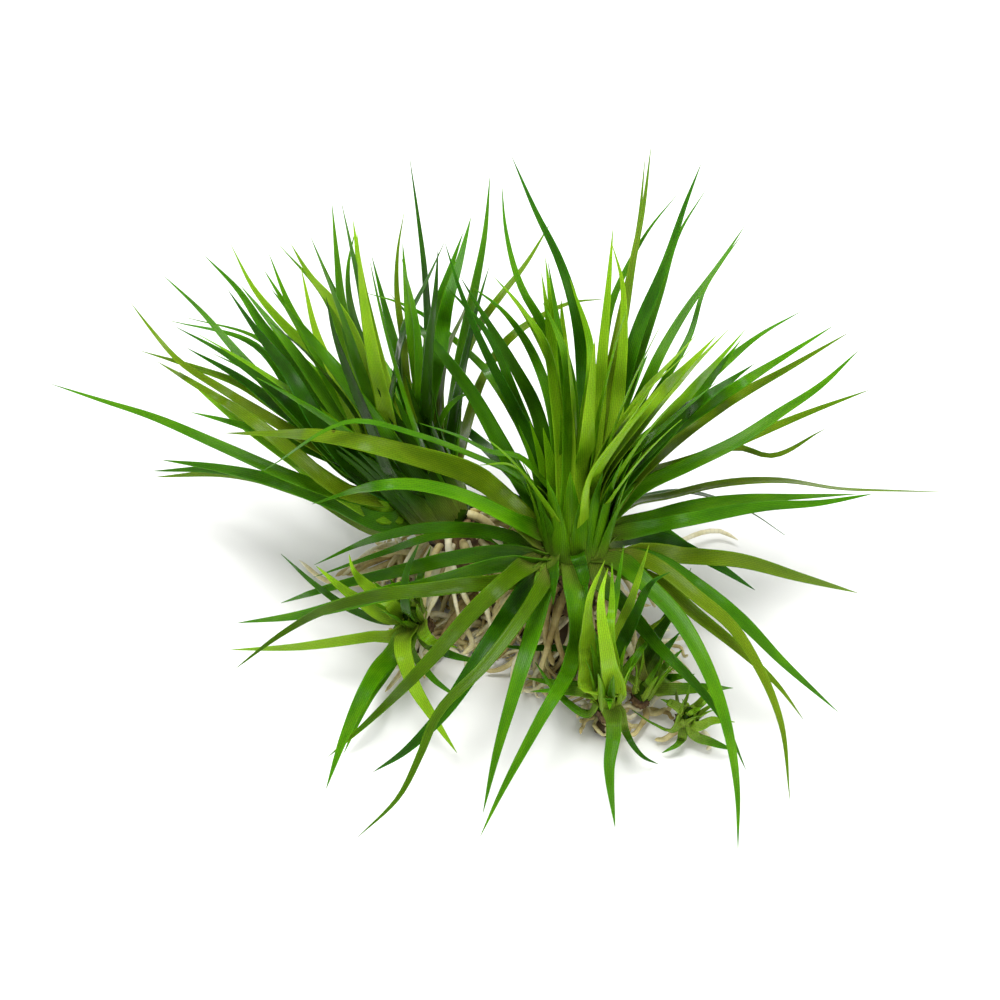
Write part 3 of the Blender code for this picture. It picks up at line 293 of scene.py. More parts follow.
LEFT_UPRIGHT_LEAVES = (
    leaf("mid", 68, 4.8, (370, 460), (290, 360), (262, 325), (240, 292), (205, 256)),
    leaf("bright", 68, 4.8, (380, 460), (320, 360), (280, 320), (255, 290), (231, 245)),
    leaf("deep", 69, 5.0, (390, 490), (320, 425), (290, 375), (258, 333), (228, 290)),
    leaf("mid", 66, 4.5, (370, 450), (285, 340), (241, 286)),
    leaf("mid", 78, 4.5, (390, 460), (345, 390), (312, 345), (292, 310), (269, 254)),
    leaf("mid", 74, 4.5, (380, 450), (292, 315), (264, 270)),
    leaf("light", 80, 4.5, (385, 440), (320, 290), (280, 246)),
    leaf("bright", 85, 5.0, (390, 430), (340, 310), (310, 275), (291, 244)),
    leaf("bright", 75, 4.6, (385, 460), (340, 385), (319, 340), (301, 268)),
    leaf("mid", 84, 4.8, (390, 430), (340, 308), (317, 251)),
    leaf("mid", 87, 4.5, (400, 440), (342, 300), (338, 265), (332, 204)),
    leaf("mid", 84, 4.5, (400, 430), (358, 275), (342, 205)),
    leaf("bright", 81, 4.5, (405, 430), (365, 300), (353, 220)),
    leaf("mid", 78, 4.2, (400, 420), (349, 260), (355, 232)),
    leaf("bright", 86, 5.0, (402, 450), (382, 390), (370, 335), (362, 285), (357, 233)),
    leaf("deep", 76, 4.6, (392, 480), (350, 408), (305, 352), (270, 322)),
    leaf("deep", 79, 5.0, (400, 480), (372, 425), (350, 375), (335, 335), (326, 297)),
    leaf("olive", 78, 2.8, (420, 440), (403, 335), (397, 290), (398, 250), (404, 213)),
    leaf("dark", 82, 3.0, (430, 420), (428, 310), (425, 270), (418, 215), (410, 160)),
    leaf("mid", 76, 3.2, (425, 420), (416, 320), (402, 259)),
    leaf("deep", 85, 5.0, (428, 470), (428, 420), (430, 350), (436, 290), (438, 250)),
    leaf("dark", 73, 4.8, (405, 460), (393, 430), (397, 370), (408, 320), (425, 285), (444, 243)),
    leaf("mid", 73, 4.2, (430, 430), (440, 300), (450, 270), (463, 233)),
    leaf("mid", 77, 4.5, (430, 440), (441, 350), (447, 305), (460, 260), (471, 217)),
    leaf("mid", 74, 3.8, (450, 470), (455, 420), (462, 360), (473, 300), (485, 235), (490, 176)),
    leaf("olive", 66, 4.0, (440, 430), (450, 345), (465, 310), (474, 273)),
)

# The offsets' leaves
LEFT_OFFSET_LEAVES = (
    leaf("dark", 19, 2.6, (390, 618), (355, 610), (320, 588), (281, 554)),
    leaf("bright", 26, 3.2, (400, 615), (355, 597), (316, 566)),
    leaf("bright", 32, 3.2, (400, 612), (385, 600), (352, 567), (349, 554)),
    leaf("bright", 1, 3.4, (400, 630), (370, 635), (300, 646), (229, 650)),
    leaf("mid", 1, 3.6, (405, 640), (375, 675), (345, 735), (326, 789)),
    leaf("mid", 1, 2.6, (398, 650), (368, 700), (344, 753)),
    leaf("bright", 3, 3.4, (405, 640), (410, 675), (435, 720), (457, 753)),
    leaf("mid", 4, 2.4, (412, 640), (430, 675), (461, 700)),
    leaf("light", 11, 2.8, (425, 635), (458, 648)),
    leaf("dark", 5, 2.8, (425, 640), (445, 652), (483, 663)),
    leaf("dark", 42, 3.0, (412, 615), (405, 585), (420, 540)),
    leaf("mid", 27, 2.4, (415, 605), (420, 580), (431, 546)),
)
FRONT_OFFSET_LEAVES = (
    leaf("bright", 49, 4.6, (595, 695), (590, 660), (588, 630), (590, 600), (605, 560)),
    leaf("bright", 51, 3.8, (612, 692), (608, 660), (602, 590), (608, 568)),
    leaf("light", 51, 2.6, (612, 680), (610, 640), (612, 600), (612, 562)),
    leaf("mid", 53, 2.6, (608, 680), (607, 640), (615, 600), (624, 545)),
    leaf("bright", 53, 2.8, (610, 680), (614, 655), (635, 590), (649, 545)),
    leaf("mid", 1, 3.0, (612, 715), (609, 770), (615, 827)),
    leaf("mid", 9, 2.8, (590, 712), (560, 695), (535, 662)),
    leaf("mid", 4, 2.4, (592, 690), (560, 684), (527, 678)),
    leaf("dark", 15, 2.6, (600, 680), (570, 652), (520, 648), (489, 644)),
    leaf("dark", 1, 2.0, (620, 712), (627, 735), (645, 758), (658, 764)),
    leaf("dark", 50, 3.0, (615, 680), (636, 615), (655, 580), (670, 572)),
)
SIDE_SHOOT_LEAVES = (
    leaf("dark", 30, 3.4, (645, 670), (655, 640), (678, 600), (691, 568)),
    leaf("dark", 20, 3.4, (655, 665), (680, 632)),
    leaf("olive", 24, 2.6, (640, 665), (642, 640), (665, 616)),
    leaf("mid", 6, 2.8, (665, 690), (700, 688), (733, 688)),
    leaf("mid", 11, 2.6, (660, 682), (695, 674)),
)
END_SHOOT_LEAVES = (
    leaf("mid", 2, 2.8, (694, 733), (712, 742), (733, 750)),
    leaf("light", 7, 2.8, (695, 724), (714, 720), (735, 722)),
    leaf("mid", 1, 2.4, (680, 742), (662, 753)),
    leaf("light", 9, 2.4, (690, 712), (702, 698)),
    leaf("dark", 11, 2.4, (682, 708), (676, 690)),
    leaf("mid", 4, 2.6, (672, 730), (652, 723), (632, 710)),
)

# %% [markdown]
# ## The six rosettes
# Two large plants grew side by side, and four young ones sprouted from runners at their feet. Each has a crown,
# the short thick stem end that its leaves stand on. Besides the leaves of the tables, each has whorls set by
# rule. Their turns go by the golden angle, about 137.5 degrees, so no two leaves stand quite over each other.

# %% Plants
PLANTS = {
    "main": Plant(
        (0, 0, 33), (0, 0.18, 0.98), 8.4, 9, 11,
        MAIN_BACK_LEAVES + MAIN_HEART_LEAVES + MAIN_RIGHT_LEAVES + MAIN_FRONT_LEAVES + MAIN_LEFT_LEAVES,
        (
            Whorl(9, (-50, 230), (27, 4), (52, 64), 5.0, ("light", "bright", "light")),
            Whorl(6, (45, 135), (96, 66), (50, 62), 4.4, ("dark", "mid")),
        ),
    ),
    "left": Plant(
        (-31, 13.7, 32), (-0.55, 0.35, 0.75), 8.4, 10, 10,
        LEFT_OUTER_LEAVES + LEFT_UPRIGHT_LEAVES,
        (
            Whorl(8, (0, 360), (26, 4), (52, 66), 5.0, ("mid", "mid", "light")),
            Whorl(6, (45, 150), (56, 34), (48, 62), 4.4, ("dark", "mid")),
        ),
    ),
    "left_offset": Plant(
        (-36.5, -4.8, 14.5), (-0.3, -0.3, 0.9), 3.6, 5.2, 4.2, LEFT_OFFSET_LEAVES,
        (Whorl(3, (0, 360), (45, 25), (11, 13), 2.8, ("bright", "light")),),
    ),
    "front_offset": Plant(
        (7.4, -27, 12), (0, -0.1, 1), 3.6, 5.2, 3.6, FRONT_OFFSET_LEAVES,
        (Whorl(4, (0, 360), (60, 15), (14, 24), 2.8, ("mid", "light")),),
    ),
    "side_shoot": Plant(
        (15.6, -21.5, 8.6), (0.25, 0, 1), 2.6, 3.8, 2.4, SIDE_SHOOT_LEAVES,
        (Whorl(3, (0, 360), (45, 10), (9, 13), 2.4, ("mid", "dark")),),
    ),
    "end_shoot": Plant(
        (25.2, -28.5, 8.1), (0.3, -0.3, 1), 2.4, 3.6, 2.4, END_SHOOT_LEAVES,
        (Whorl(3, (0, 360), (45, 10), (8, 11), 2.4, ("mid", "light")),),
    ),
}
YOUNG_PLANTS = ("left_offset", "front_offset", "side_shoot", "end_shoot")
for name, plant in PLANTS.items():
    drawn = len(plant.leaves)
    print(f"{name}: {drawn} drawn leaves and {sum(whorl.count for whorl in plant.whorls)} set by rule")

# %% [markdown]
# ## From readings to middle lines
# A leaf is first only a line down its middle. Its heights run from the crown's to the tip's, plus an arch, as a
# leaf bows under its own weight. A curve through the pixels and those heights together gives points in space.

# %% Middle lines of the leaves
TIP_WIDTH = 0.6 * MM
LEAF_FLOOR = 0.8 * MM  # the lowest that a leaf's middle line runs
TAPER = (1.9, 0.95)  # powers that set how late a blade narrows and how blunt its tip is
BLADE_FOOT = (0.15, 0.45)  # the share of the blade that lies in the crown, and its width at the start
MOST_ASLANT = 1.4  # the most that a blade is wider than it looks, because it is seen aslant
FACE_LEAN = 0.5  # how far a blade's face leans in to the plant's axis
TURN_TO_LIGHT = 0.35  # how far a blade's face turns to the light, which comes from the viewer's side
FOOT_REACH = 0.7  # of the crown's radius, where the leaves start
FOOT_RISE = 0.3  # of the crown's height, between the lowest and the highest start
ARCH_SHARES = (0.03, 0.15)  # how far a leaf arches, as a share of its length
ARCH_OF_LEVEL_LEAF = 0.1
ARCH_LOST_IN_CLIMB = 1.5  # for each metre that the tip stands above the foot
WHORL_JITTER = (0.1, math.radians(4), 0.07)  # of the turn, the tilt and the length
WHORL_OUT = 0.12  # how far a leaf of a whorl bends outward, for each of its lengths
WHORL_DROOP = 0.3  # how far it droops
STRAND_POINTS = 26
GOLDEN_TURN = math.radians(137.508)


def smooth_path(points, count):
    """Evenly spaced points on a smooth curve through the given ones."""
    points = np.array(points, float)
    ends = np.concatenate([[0], np.cumsum(np.linalg.norm(np.diff(points, axis=0), axis=1))])
    slopes = np.gradient(points, ends, axis=0)
    places = np.linspace(0, ends[-1], count)
    first = np.clip(np.searchsorted(ends, places, side="right") - 1, 0, len(ends) - 2)
    span = (ends[first + 1] - ends[first])[:, None]
    t = (places - ends[first])[:, None] / span
    return (
        points[first] * (2 * t**3 - 3 * t**2 + 1)
        + slopes[first] * span * (t**3 - 2 * t**2 + t)
        + points[first + 1] * (3 * t**2 - 2 * t**3)
        + slopes[first + 1] * span * (t**3 - t**2)
    )


def strand_widths(width):
    """A leaf keeps its width to the middle and then tapers to the tip. Its foot in the crown is narrow."""
    along = np.linspace(0, 1, STRAND_POINTS)
    late, blunt = TAPER
    taper = TIP_WIDTH + (width * MM - TIP_WIDTH) * (1 - along**late) ** blunt
    return taper * np.interp(along, (0, BLADE_FOOT[0]), (BLADE_FOOT[1], 1))


def face_of(plant, across):
    """The side that a leaf's upper face looks to: the axis, and a little the light."""
    return unit(unit(unit(plant.axis) - across * FACE_LEAN) + TOWARDS_EYE * TURN_TO_LIGHT)


def foot_of(plant, towards):
    """Where a leaf that sets out this way starts inside the crown, and its direction across the axis."""
    axis = unit(plant.axis)
    rise = math.asin(np.clip(unit(towards) @ axis, -FOOT_RISE, 0.98))
    across = unit(towards - axis * (towards @ axis))
    aside = plant.crown_radius * FOOT_REACH * math.sqrt(math.cos(rise))
    foot = across * aside + axis * math.sin(rise) * plant.crown_height * FOOT_RISE
    return np.array(plant.centre) * MM + foot * MM, across


def aslant(course, facing):
    """How much wider a blade is than the photograph shows it, for the way that its face looks."""
    course = unit(course)
    face = unit(facing - course * (facing @ course))
    return min(1 / max(abs(face @ TOWARDS_EYE), 0.1), MOST_ASLANT)


def read_strand(name, plant, read):
    """A photographed leaf in space: its pixels' rays meet heights from the crown's to the tip's."""
    tip = on_ray(read.pixels[-1], read.tip_height * MM)
    foot, across = foot_of(plant, tip - np.array(plant.centre) * MM)
    path = smooth_path([pixel_of(foot), *read.pixels], STRAND_POINTS)
    climb = tip[2] - foot[2]
    arch = np.linalg.norm(tip - foot) * np.clip(ARCH_OF_LEVEL_LEAF - ARCH_LOST_IN_CLIMB * climb, *ARCH_SHARES)
    if read.arch is not None:
        arch = read.arch * MM
    along = np.linspace(0, 1, STRAND_POINTS)
    heights = foot[2] + climb * along + arch * 4 * along * (1 - along)
    heights = np.maximum(heights, LEAF_FLOOR)
    points = np.array([on_ray(pixel, height) for pixel, height in zip(path, heights)])
    facing = face_of(plant, across)
    widths = strand_widths(read.width * aslant(points[STRAND_POINTS // 2] - foot, facing))
    return Strand(points, widths, name, facing, "leaf", read.tone)


def whorl_strands(name, plant, whorl, dice, tone_dice):
    """The leaves that others hide, and the young ones in the heart."""
    axis = unit(plant.axis)
    side = unit(np.cross(axis, [0, 1, 0]))
    back = np.cross(axis, side)
    first, last = (math.radians(turn) for turn in whorl.turns)
    turn_jitter, tilt_jitter, length_jitter = WHORL_JITTER
    strands = []
    for k in range(whorl.count):
        share = k / max(whorl.count - 1, 1)
        turn = first + (k * GOLDEN_TURN) % (last - first) + dice.uniform(-turn_jitter, turn_jitter)
        tilt = math.radians(np.interp(share, (0, 1), whorl.tilts)) + dice.uniform(-tilt_jitter, tilt_jitter)
        length = np.interp(share, (0, 1), whorl.lengths) * MM
        length *= 1 + dice.uniform(-length_jitter, length_jitter)
        across = side * math.cos(turn) - back * math.sin(turn)
        course = axis * math.cos(tilt) + across * math.sin(tilt)
        foot, _ = foot_of(plant, course)
        along = np.linspace(0, 1, STRAND_POINTS)[:, None]
        droop = across * WHORL_OUT - np.array([0, 0, WHORL_DROOP]) * math.sin(tilt)
        points = foot + length * (along * course + along**2 * droop)
        points[:, 2] = np.maximum(points[:, 2], LEAF_FLOOR)
        tone = tone_dice.choice(whorl.tones)
        strands.append(Strand(points, strand_widths(whorl.width), name, face_of(plant, across), "leaf", tone))
    return strands


print("a leaf's middle line has", STRAND_POINTS, "points")

# %% [markdown]
# ## Roots
# Roots leave the rootstock level, sink, and wander over the ground where they were cut free of the gravel. A
# walk with a seeded random bend gives them that path. A few that show by themselves are placed by pixel. Any
# root that would pass through a crown or a stock is drawn again.

# %% Middle lines of the roots
ROOT_WIDTH = 1.9 * MM
ROOT_TAPER = 0.45
ROOT_FLOOR = 1.2 * MM
ROOT_STEPS = 6
ROOT_STEP_LENGTHS = (3.6, 5.6)  # in mm, before the source's stride
ROOT_TRIES = 12  # for a root that keeps out of the rootstocks
JOINT_GAP = 0.3 * MM
ROOT_SOURCES = (
    ((0, 0, 9), 15, 1),
    ((-9, 7, 9), 6, 1),
    ((-19, 13, 11), 10, 1),
    ((-33, 20, 6), 7, 0.8),
    ((-33, -2, 4), 4, 0.5),
    ((7, -24, 3), 3, 0.4),
    ((14, -6, 5), 5, 0.6),
)
# Roots that the photograph shows apart from the mat: the source, the tip's height in mm, pixels to the tip
SHOWN_ROOTS = (
    (0, 2, ((640, 555), (683, 540), (700, 533), (720, 531), (738, 540))),
    (4, 3, ((400, 590), (360, 585), (325, 580), (299, 560))),
    (4, 8, ((430, 615), (455, 620), (468, 632), (472, 645), (462, 655))),
    (0, 2, ((560, 620), (548, 640), (545, 660), (538, 680))),
    (0, 2, ((575, 625), (566, 645), (560, 662), (548, 677))),
    (0, 5, ((545, 585), (520, 600), (500, 615), (475, 637))),
    (4, 1.5, ((430, 620), (415, 650), (395, 680), (385, 692))),
    (6, 2, ((645, 640), (655, 655), (665, 678))),
    (0, 1.5, ((600, 620), (632, 640), (650, 652), (668, 648))),
    (2, 14, ((460, 555), (425, 542), (400, 545), (378, 555))),
    (2, 9, ((460, 570), (430, 562), (390, 570), (352, 578))),
    (3, 5, ((440, 560), (410, 550), (380, 560), (350, 574))),
)
MAT_LUMPS = (  # the matted middle: the centre of each flat lump's foot, its reach and its height, in mm
    ((0, 0, 0), (11, 10), 13.5),
    ((-10, 7, 0.6), (8, 7), 12),
    ((-19, 11, 0.6), (8.5, 8), 12.5),
    ((-33, 20, 0.6), (8.5, 6), 7.5),
    ((-33, -2.5, 0.6), (4.6, 4.2), 4.4),
    ((7.3, -25.5, 0.6), (4.4, 4.2), 3.2),
    ((13, -5, 0.6), (6, 5), 5),
)


def stock_span(plant):
    """The foot and top of a rootstock on its plant's axis, in mm."""
    axis = unit(plant.axis)
    top = np.array(plant.centre) - axis * (plant.crown_height / 2 + JOINT_GAP / MM)
    return top - axis * plant.stock_height, top


def root_strand(points):
    along = np.linspace(0, 1, STRAND_POINTS)
    widths = ROOT_WIDTH * (1 - ROOT_TAPER * along)
    return Strand(np.array(points), widths, "mat", np.array([0, 0, 1.0]), "root", "mid")


def wandering_root(source, turn, stride, dice):
    """A root that sets out level, sinks to the ground and wanders there."""
    heading = turn
    dip = dice.uniform(-0.15, 0.5)
    point = np.array(source, float)
    places = [point]
    bend = dice.uniform(-0.5, 0.5)
    for _ in range(ROOT_STEPS):
        step = dice.uniform(*ROOT_STEP_LENGTHS) * stride
        level = np.array([math.cos(heading), math.sin(heading), 0])
        point = point + (level * math.cos(dip) - np.array([0, 0, math.sin(dip)])) * step
        point[2] = max(point[2], ROOT_FLOOR / MM + dice.uniform(0, 2.5))
        places.append(point)
        heading += bend + dice.uniform(-0.5, 0.5)
        dip = min(dip + dice.uniform(0, 0.35), 1.0)
    return root_strand(smooth_path(places, STRAND_POINTS) * MM)


def clears_stocks(strand):
    """Whether a root keeps out of every crown and rootstock."""
    for plant in PLANTS.values():
        foot, top = (np.array(place) * MM for place in stock_span(plant))
        climb = unit(plant.axis)
        for point in strand.points:
            along = (point - foot) @ climb
            if -1.1 * MM < along < np.linalg.norm(top - foot) + plant.crown_height * MM:
                aside = np.linalg.norm(point - foot - climb * along)
                if aside < plant.crown_radius * MM + ROOT_WIDTH * 0.8:
                    return False
    return True


def grow_roots(sources, dice):
    strands = []
    for source, count, stride in sources:
        for k in range(count):
            for _ in range(ROOT_TRIES):
                start = [source[0], source[1], max(source[2] * dice.uniform(0.35, 1.1), 2)]
                root = wandering_root(start, k * GOLDEN_TURN, stride, dice)
                if clears_stocks(root):
                    strands.append(root)
                    break
    return strands


def shown_roots():
    strands = []
    for source, tip_height, pixels in SHOWN_ROOTS:
        start = np.array(ROOT_SOURCES[source][0])
        path = smooth_path([pixel_of(start * MM), *pixels], STRAND_POINTS)
        heights = np.linspace(start[2], tip_height, STRAND_POINTS) * MM
        strands.append(root_strand([on_ray(pixel, height) for pixel, height in zip(path, heights)]))
    return strands


# %% [markdown]
# ## Settling
# In a real clump no leaf passes through another, because they grew past each other. Readings from one picture
# don't say which is in front by how much. So leaves that come too close are pushed apart along the line of
# sight, a little at a time, until there is room for both. From the camera nothing moves at all.

# %% Settle the leaves
HELD_POINTS = 4  # at a strand's foot, which stay where they grow
SETTLE_SEARCHES = 10
ROUNDS_PER_SEARCH = 8
SEARCH_REACH = 6.5 * MM
CLEAR_OF_OTHERS = 0.66  # of the two widths together, from another plant's strands
CLEAR_OF_OWN = 0.68
THICKNESS_ROOM = 1.8 * MM
OWN_THICKNESS_ROOM = 0.72 * MM
SETTLE_STEP = 0.8  # of the move that a round asks for
SETTLE_SPREAD = (0.1, 0.22, 0.36, 0.22, 0.1)  # how a point's move is shared with its neighbours


def keep_clear_points():
    """Points inside the crowns and rootstocks, with the widths that other plants' leaves keep clear of."""
    points, widths, plants = [], [], []
    for name, plant in PLANTS.items():
        axis = unit(plant.axis)
        mid_stock = -(plant.crown_height + plant.stock_height) / 2
        for rise, width in ((0.7 * plant.crown_height, 1.6), (0, 2.1), (mid_stock, 2.1)):
            points.append((np.array(plant.centre) + axis * rise) * MM)
            widths.append(plant.crown_radius * width * MM)
            plants.append(name)
    for (x, y, z), reach, height in MAT_LUMPS:
        points.append(np.array([x, y, z + height * 0.35]) * MM)
        widths.append(min(*reach, height) * 1.7 * MM)
        plants.append("mat")
    return np.array(points), np.array(widths), plants


def close_pairs(points, widths, strand_points):
    """Pairs of points near each other. Past the strands' points come those inside the crowns and lumps."""
    tree = KDTree(len(points))
    for k, point in enumerate(points):
        tree.insert(point, k)
    tree.balance()
    found = []
    for k, point in enumerate(points):
        reach = SEARCH_REACH if k < strand_points else (widths[k] + SEARCH_REACH) / 2
        found += [(min(k, other), max(k, other)) for _, other, _ in tree.find_range(point, reach)]
    return np.unique(np.array(found), axis=0).T


def settle(strands):
    """Bends leaves along the line of sight until they pass clear of each other. The view stays as it is."""
    lines = np.array([strand.points for strand in strands])
    count = len(lines)
    fixed, fixed_widths, fixed_plants = keep_clear_points()
    owner = np.append(np.repeat(np.arange(count), STRAND_POINTS), count + np.arange(len(fixed)))
    widths = np.concatenate([np.concatenate([strand.widths for strand in strands]), fixed_widths])
    plant_names = sorted({*fixed_plants, *(strand.plant for strand in strands)})
    plants = [strand.plant for strand in strands] + fixed_plants
    plant_of = np.array([plant_names.index(plant) for plant in plants])
    loose = np.zeros(len(owner))
    ease = np.clip((np.arange(STRAND_POINTS) - HELD_POINTS + 1) / 4, 0, 1)
    for k, strand in enumerate(strands):
        if strand.kind == "leaf":
            loose[k * STRAND_POINTS : (k + 1) * STRAND_POINTS] = ease
    is_root = np.array([strand.kind == "root" for strand in strands] + [p == "mat" for p in fixed_plants])
    for k in range(SETTLE_SEARCHES * ROUNDS_PER_SEARCH):
        flat = np.concatenate([lines.reshape(-1, 3), fixed])
        sight = flat - EYE
        sight /= np.linalg.norm(sight, axis=1)[:, None]
        if k % ROUNDS_PER_SEARCH == 0:
            a, b = close_pairs(flat, widths, count * STRAND_POINTS)
            both_roots = is_root[owner[a]] & is_root[owner[b]]
            apart = (owner[a] != owner[b]) & ~both_roots & (loose[a] + loose[b] > 0)
            a, b = a[apart], b[apart]
            same = plant_of[owner[a]] == plant_of[owner[b]]
            keep = ~(same & ((a >= count * STRAND_POINTS) | (b >= count * STRAND_POINTS)))
            a, b, same = a[keep], b[keep], same[keep]
            share = np.where(same, CLEAR_OF_OWN, CLEAR_OF_OTHERS)
            room = np.where(same, OWN_THICKNESS_ROOM, THICKNESS_ROOM)
            clear = (widths[a] + widths[b]) * share + room
            _, which = np.unique(owner[a] * (count + len(fixed)) + owner[b], return_inverse=True)
        gap = flat[b] - flat[a]
        depth = (gap * sight[a]).sum(axis=1)
        aside = (gap**2).sum(axis=1) - depth**2
        needed = np.sqrt(np.maximum(clear**2 - aside, 0))
        order = np.where(np.bincount(which, weights=depth * (needed > 0))[which] < 0, -1.0, 1.0)
        short = np.maximum(needed - order * depth, 0) * order
        total = loose[a] + loose[b]
        away = np.zeros(len(flat))
        near = np.zeros(len(flat))
        for ends, push in ((b, short * loose[b] / total), (a, -short * loose[a] / total)):
            np.maximum.at(away, ends, push)
            np.minimum.at(near, ends, push)
        move = ((away + near) * loose)[: count * STRAND_POINTS].reshape(count, STRAND_POINTS)
        padded = np.pad(move, ((0, 0), (2, 2)), mode="edge")
        move = sum(w * padded[:, k : k + STRAND_POINTS] for k, w in enumerate(SETTLE_SPREAD))
        rays = sight[: count * STRAND_POINTS].reshape(lines.shape)
        lines = lines + rays * (move * SETTLE_STEP)[:, :, None]
        sunk = np.maximum(LEAF_FLOOR - lines[:, :, 2], 0) * loose[: count * STRAND_POINTS].reshape(count, -1)
        lines += rays * (sunk / rays[:, :, 2])[:, :, None]
    return [strand._replace(points=line) for strand, line in zip(strands, lines)]


def all_strands():
    dice = random.Random(7)
    tone_dice = random.Random(5)
    strands = []
    for name, plant in PLANTS.items():
        strands += [read_strand(name, plant, read) for read in plant.leaves]
        for whorl in plant.whorls:
            strands += whorl_strands(name, plant, whorl, dice, tone_dice)
    return settle(strands + grow_roots(ROOT_SOURCES, dice) + shown_roots())


strands = all_strands()
leaves = [strand for strand in strands if strand.kind == "leaf"]
roots = [strand for strand in strands if strand.kind == "root"]
print(len(leaves), "leaves and", len(roots), "roots are settled")

# %% [markdown]
# ## Meshes swept along lines
# A leaf blade and a root are both a cross-section carried along a line. The frame that carries it is moved on
# from station to station without turning about the line, so a blade doesn't flip over where its line bends. A
# curve object with a bevel could do this too, but its section stays the same shape, and a leaf's changes from a
# deep channel at the foot to a hair at the tip. Each vertex also keeps where it is on its leaf, in millimetres,
# and the leaf's tone, because the materials draw veins and colours from those.

# %% Sweeping
class Shape:
    """Vertices and faces gathered for one piece, with what its material reads at each vertex."""

    def __init__(self):
        self.points, self.faces, self.place, self.tone = [], [], [], []

    def add(self, rings, place, tone):
        """Adds a closed body through rings of points, all of them counter-clockwise about its course."""
        count, sides = rings.shape[:2]
        first = sum(len(points) for points in self.points)
        index = first + np.arange(count * sides).reshape(count, sides)
        after = np.roll(index, -1, axis=1)
        quads = np.stack([index[:-1], after[:-1], after[1:], index[1:]], axis=-1).reshape(-1, 4)
        self.faces += quads.tolist()
        self.faces += [index[0][::-1].tolist(), index[-1].tolist()]
        self.points.append(rings.reshape(-1, 3))
        self.place.append(place.reshape(-1, 3))
        self.tone.append(np.tile(tone, (count * sides, 1)))

    def mesh(self, name):
        points = np.concatenate(self.points)
        mesh = bpy.data.meshes.new(name)
        mesh.from_pydata(points, [], self.faces)
        for label, values in (("grown_place", self.place), ("grown_tone", self.tone)):
            attribute = mesh.attributes.new(label, "FLOAT_VECTOR", "POINT")
            attribute.data.foreach_set("vector", np.concatenate(values).astype(np.float32).ravel())
        mesh.polygons.foreach_set("use_smooth", np.ones(len(mesh.polygons), bool))
        mesh.update()
        return mesh


def frames_along(points, facing, stations, twist=0.0):
    """Points, sideways and upward directions at shares of a line's length, and the length."""
    ends = np.concatenate([[0], np.cumsum(np.linalg.norm(np.diff(points, axis=0), axis=1))])
    length = ends[-1]
    ends = ends / length
    fine = smooth_path(points, 4 * len(points))
    shares = np.linspace(0, 1, len(fine))
    line = np.array([np.interp(stations, shares, fine[:, k]) for k in range(3)]).T
    courses = np.gradient(line, stations, axis=0)
    courses /= np.linalg.norm(courses, axis=1)[:, None]
    side = unit(np.cross(facing, points[-1] - points[0]))
    across = [unit(side - courses[0] * (side @ courses[0]))]
    for course in courses[1:]:
        across.append(unit(across[-1] - course * (across[-1] @ course)))
    across = np.array(across)
    upward = np.cross(courses, across)
    turn = (twist * np.asarray(stations) ** 1.6)[:, None]
    across, upward = across * np.cos(turn) + upward * np.sin(turn), upward * np.cos(turn) - across * np.sin(turn)
    return line, across, upward, length


def swept(line, across, upward, sections):
    """Rings about a line: each section is pairs of sideways and upward distances."""
    return line[:, None] + across[:, None] * sections[..., :1] + upward[:, None] * sections[..., 1:]


# %% [markdown]
# ## Leaf blades
# A pipewort leaf is a soft, spongy strap. It is thick and channelled where it clasps the crown, then flat with a
# faint keel below, and it draws out to a hair. Twelve points round each section are enough for the channel,
# the keel and a rounded margin.

# %% Blades
BLADE_STATIONS = 1 - (1 - np.linspace(0, 1, 34)) ** 1.15
BLADE_ACROSS = np.array([1, 0.84, 0.45, 0, -0.45, -0.84, -1, -0.84, -0.45, 0, 0.45, 0.84])
BLADE_IS_UPPER = np.array([0.5, 1, 1, 1, 1, 1, 0.5, 0, 0, 0, 0, 0])
FOOT_DROP = 0.9  # of the crown's height, by which an upright leaf starts lower than its middle line
FOOT_THICKNESS = 0.9 * MM
MIDDLE_THICKNESS = 0.5 * MM
TIP_THICKNESS = 0.1 * MM
HAIR_WIDTH = 0.09 * MM
SHEATH_PROFILE = ((-1, 0.6), (-0.2, 0.82), (1.2, 0.98), (2.8, 1.12), (4.6, 1.35), (6.4, 1.7))
SHEATHS_PER_MM = 2.5  # of the crown's radius
# The crown dome is painted shade: a deep green tone, and a place past the pale foot so that it doesn't pale.
DOME_SHADE_TONE = (0.12, 0.25, 0)
PAST_THE_PALE_FOOT = 20  # mm
# The main plant's sheaths keep their own green; the left plant's are painted dark, as painted shade under its rosette.
SHEATH_TONES_AND_SHADE = {"main": (0.42, 0.72), "left": (0.0, 0.3)}


def blade_sections(width, stations):
    """The sections of a blade of this width, as sideways and upward distances."""
    late, blunt = TAPER
    taper = (1 - stations**late) ** blunt
    foot = np.interp(stations, (0, 0.05, 0.1, 0.2), (0.6, 1.0, 1.25, 1))
    half = (HAIR_WIDTH + (width - HAIR_WIDTH) * taper * foot)[:, None] / 2
    thick = np.interp(stations, (0, 0.3, 1), (FOOT_THICKNESS, MIDDLE_THICKNESS, TIP_THICKNESS))[:, None]
    channel = np.interp(stations, (0, 0.12, 0.5, 1), (0.62, 0.4, 0.2, 0.1))[:, None]
    rise = channel * half * np.abs(BLADE_ACROSS) ** 1.7
    body = thick * (0.3 + 0.7 * np.sqrt(1 - np.minimum(BLADE_ACROSS**2, 0.96)))
    keel = thick * 0.4 * np.exp(-((BLADE_ACROSS / 0.3) ** 2))
    upward = rise + np.where(BLADE_IS_UPPER == 1, body / 2, 0) - np.where(BLADE_IS_UPPER == 0, body / 2 + keel, 0)
    return np.stack([half * BLADE_ACROSS, upward], axis=-1)


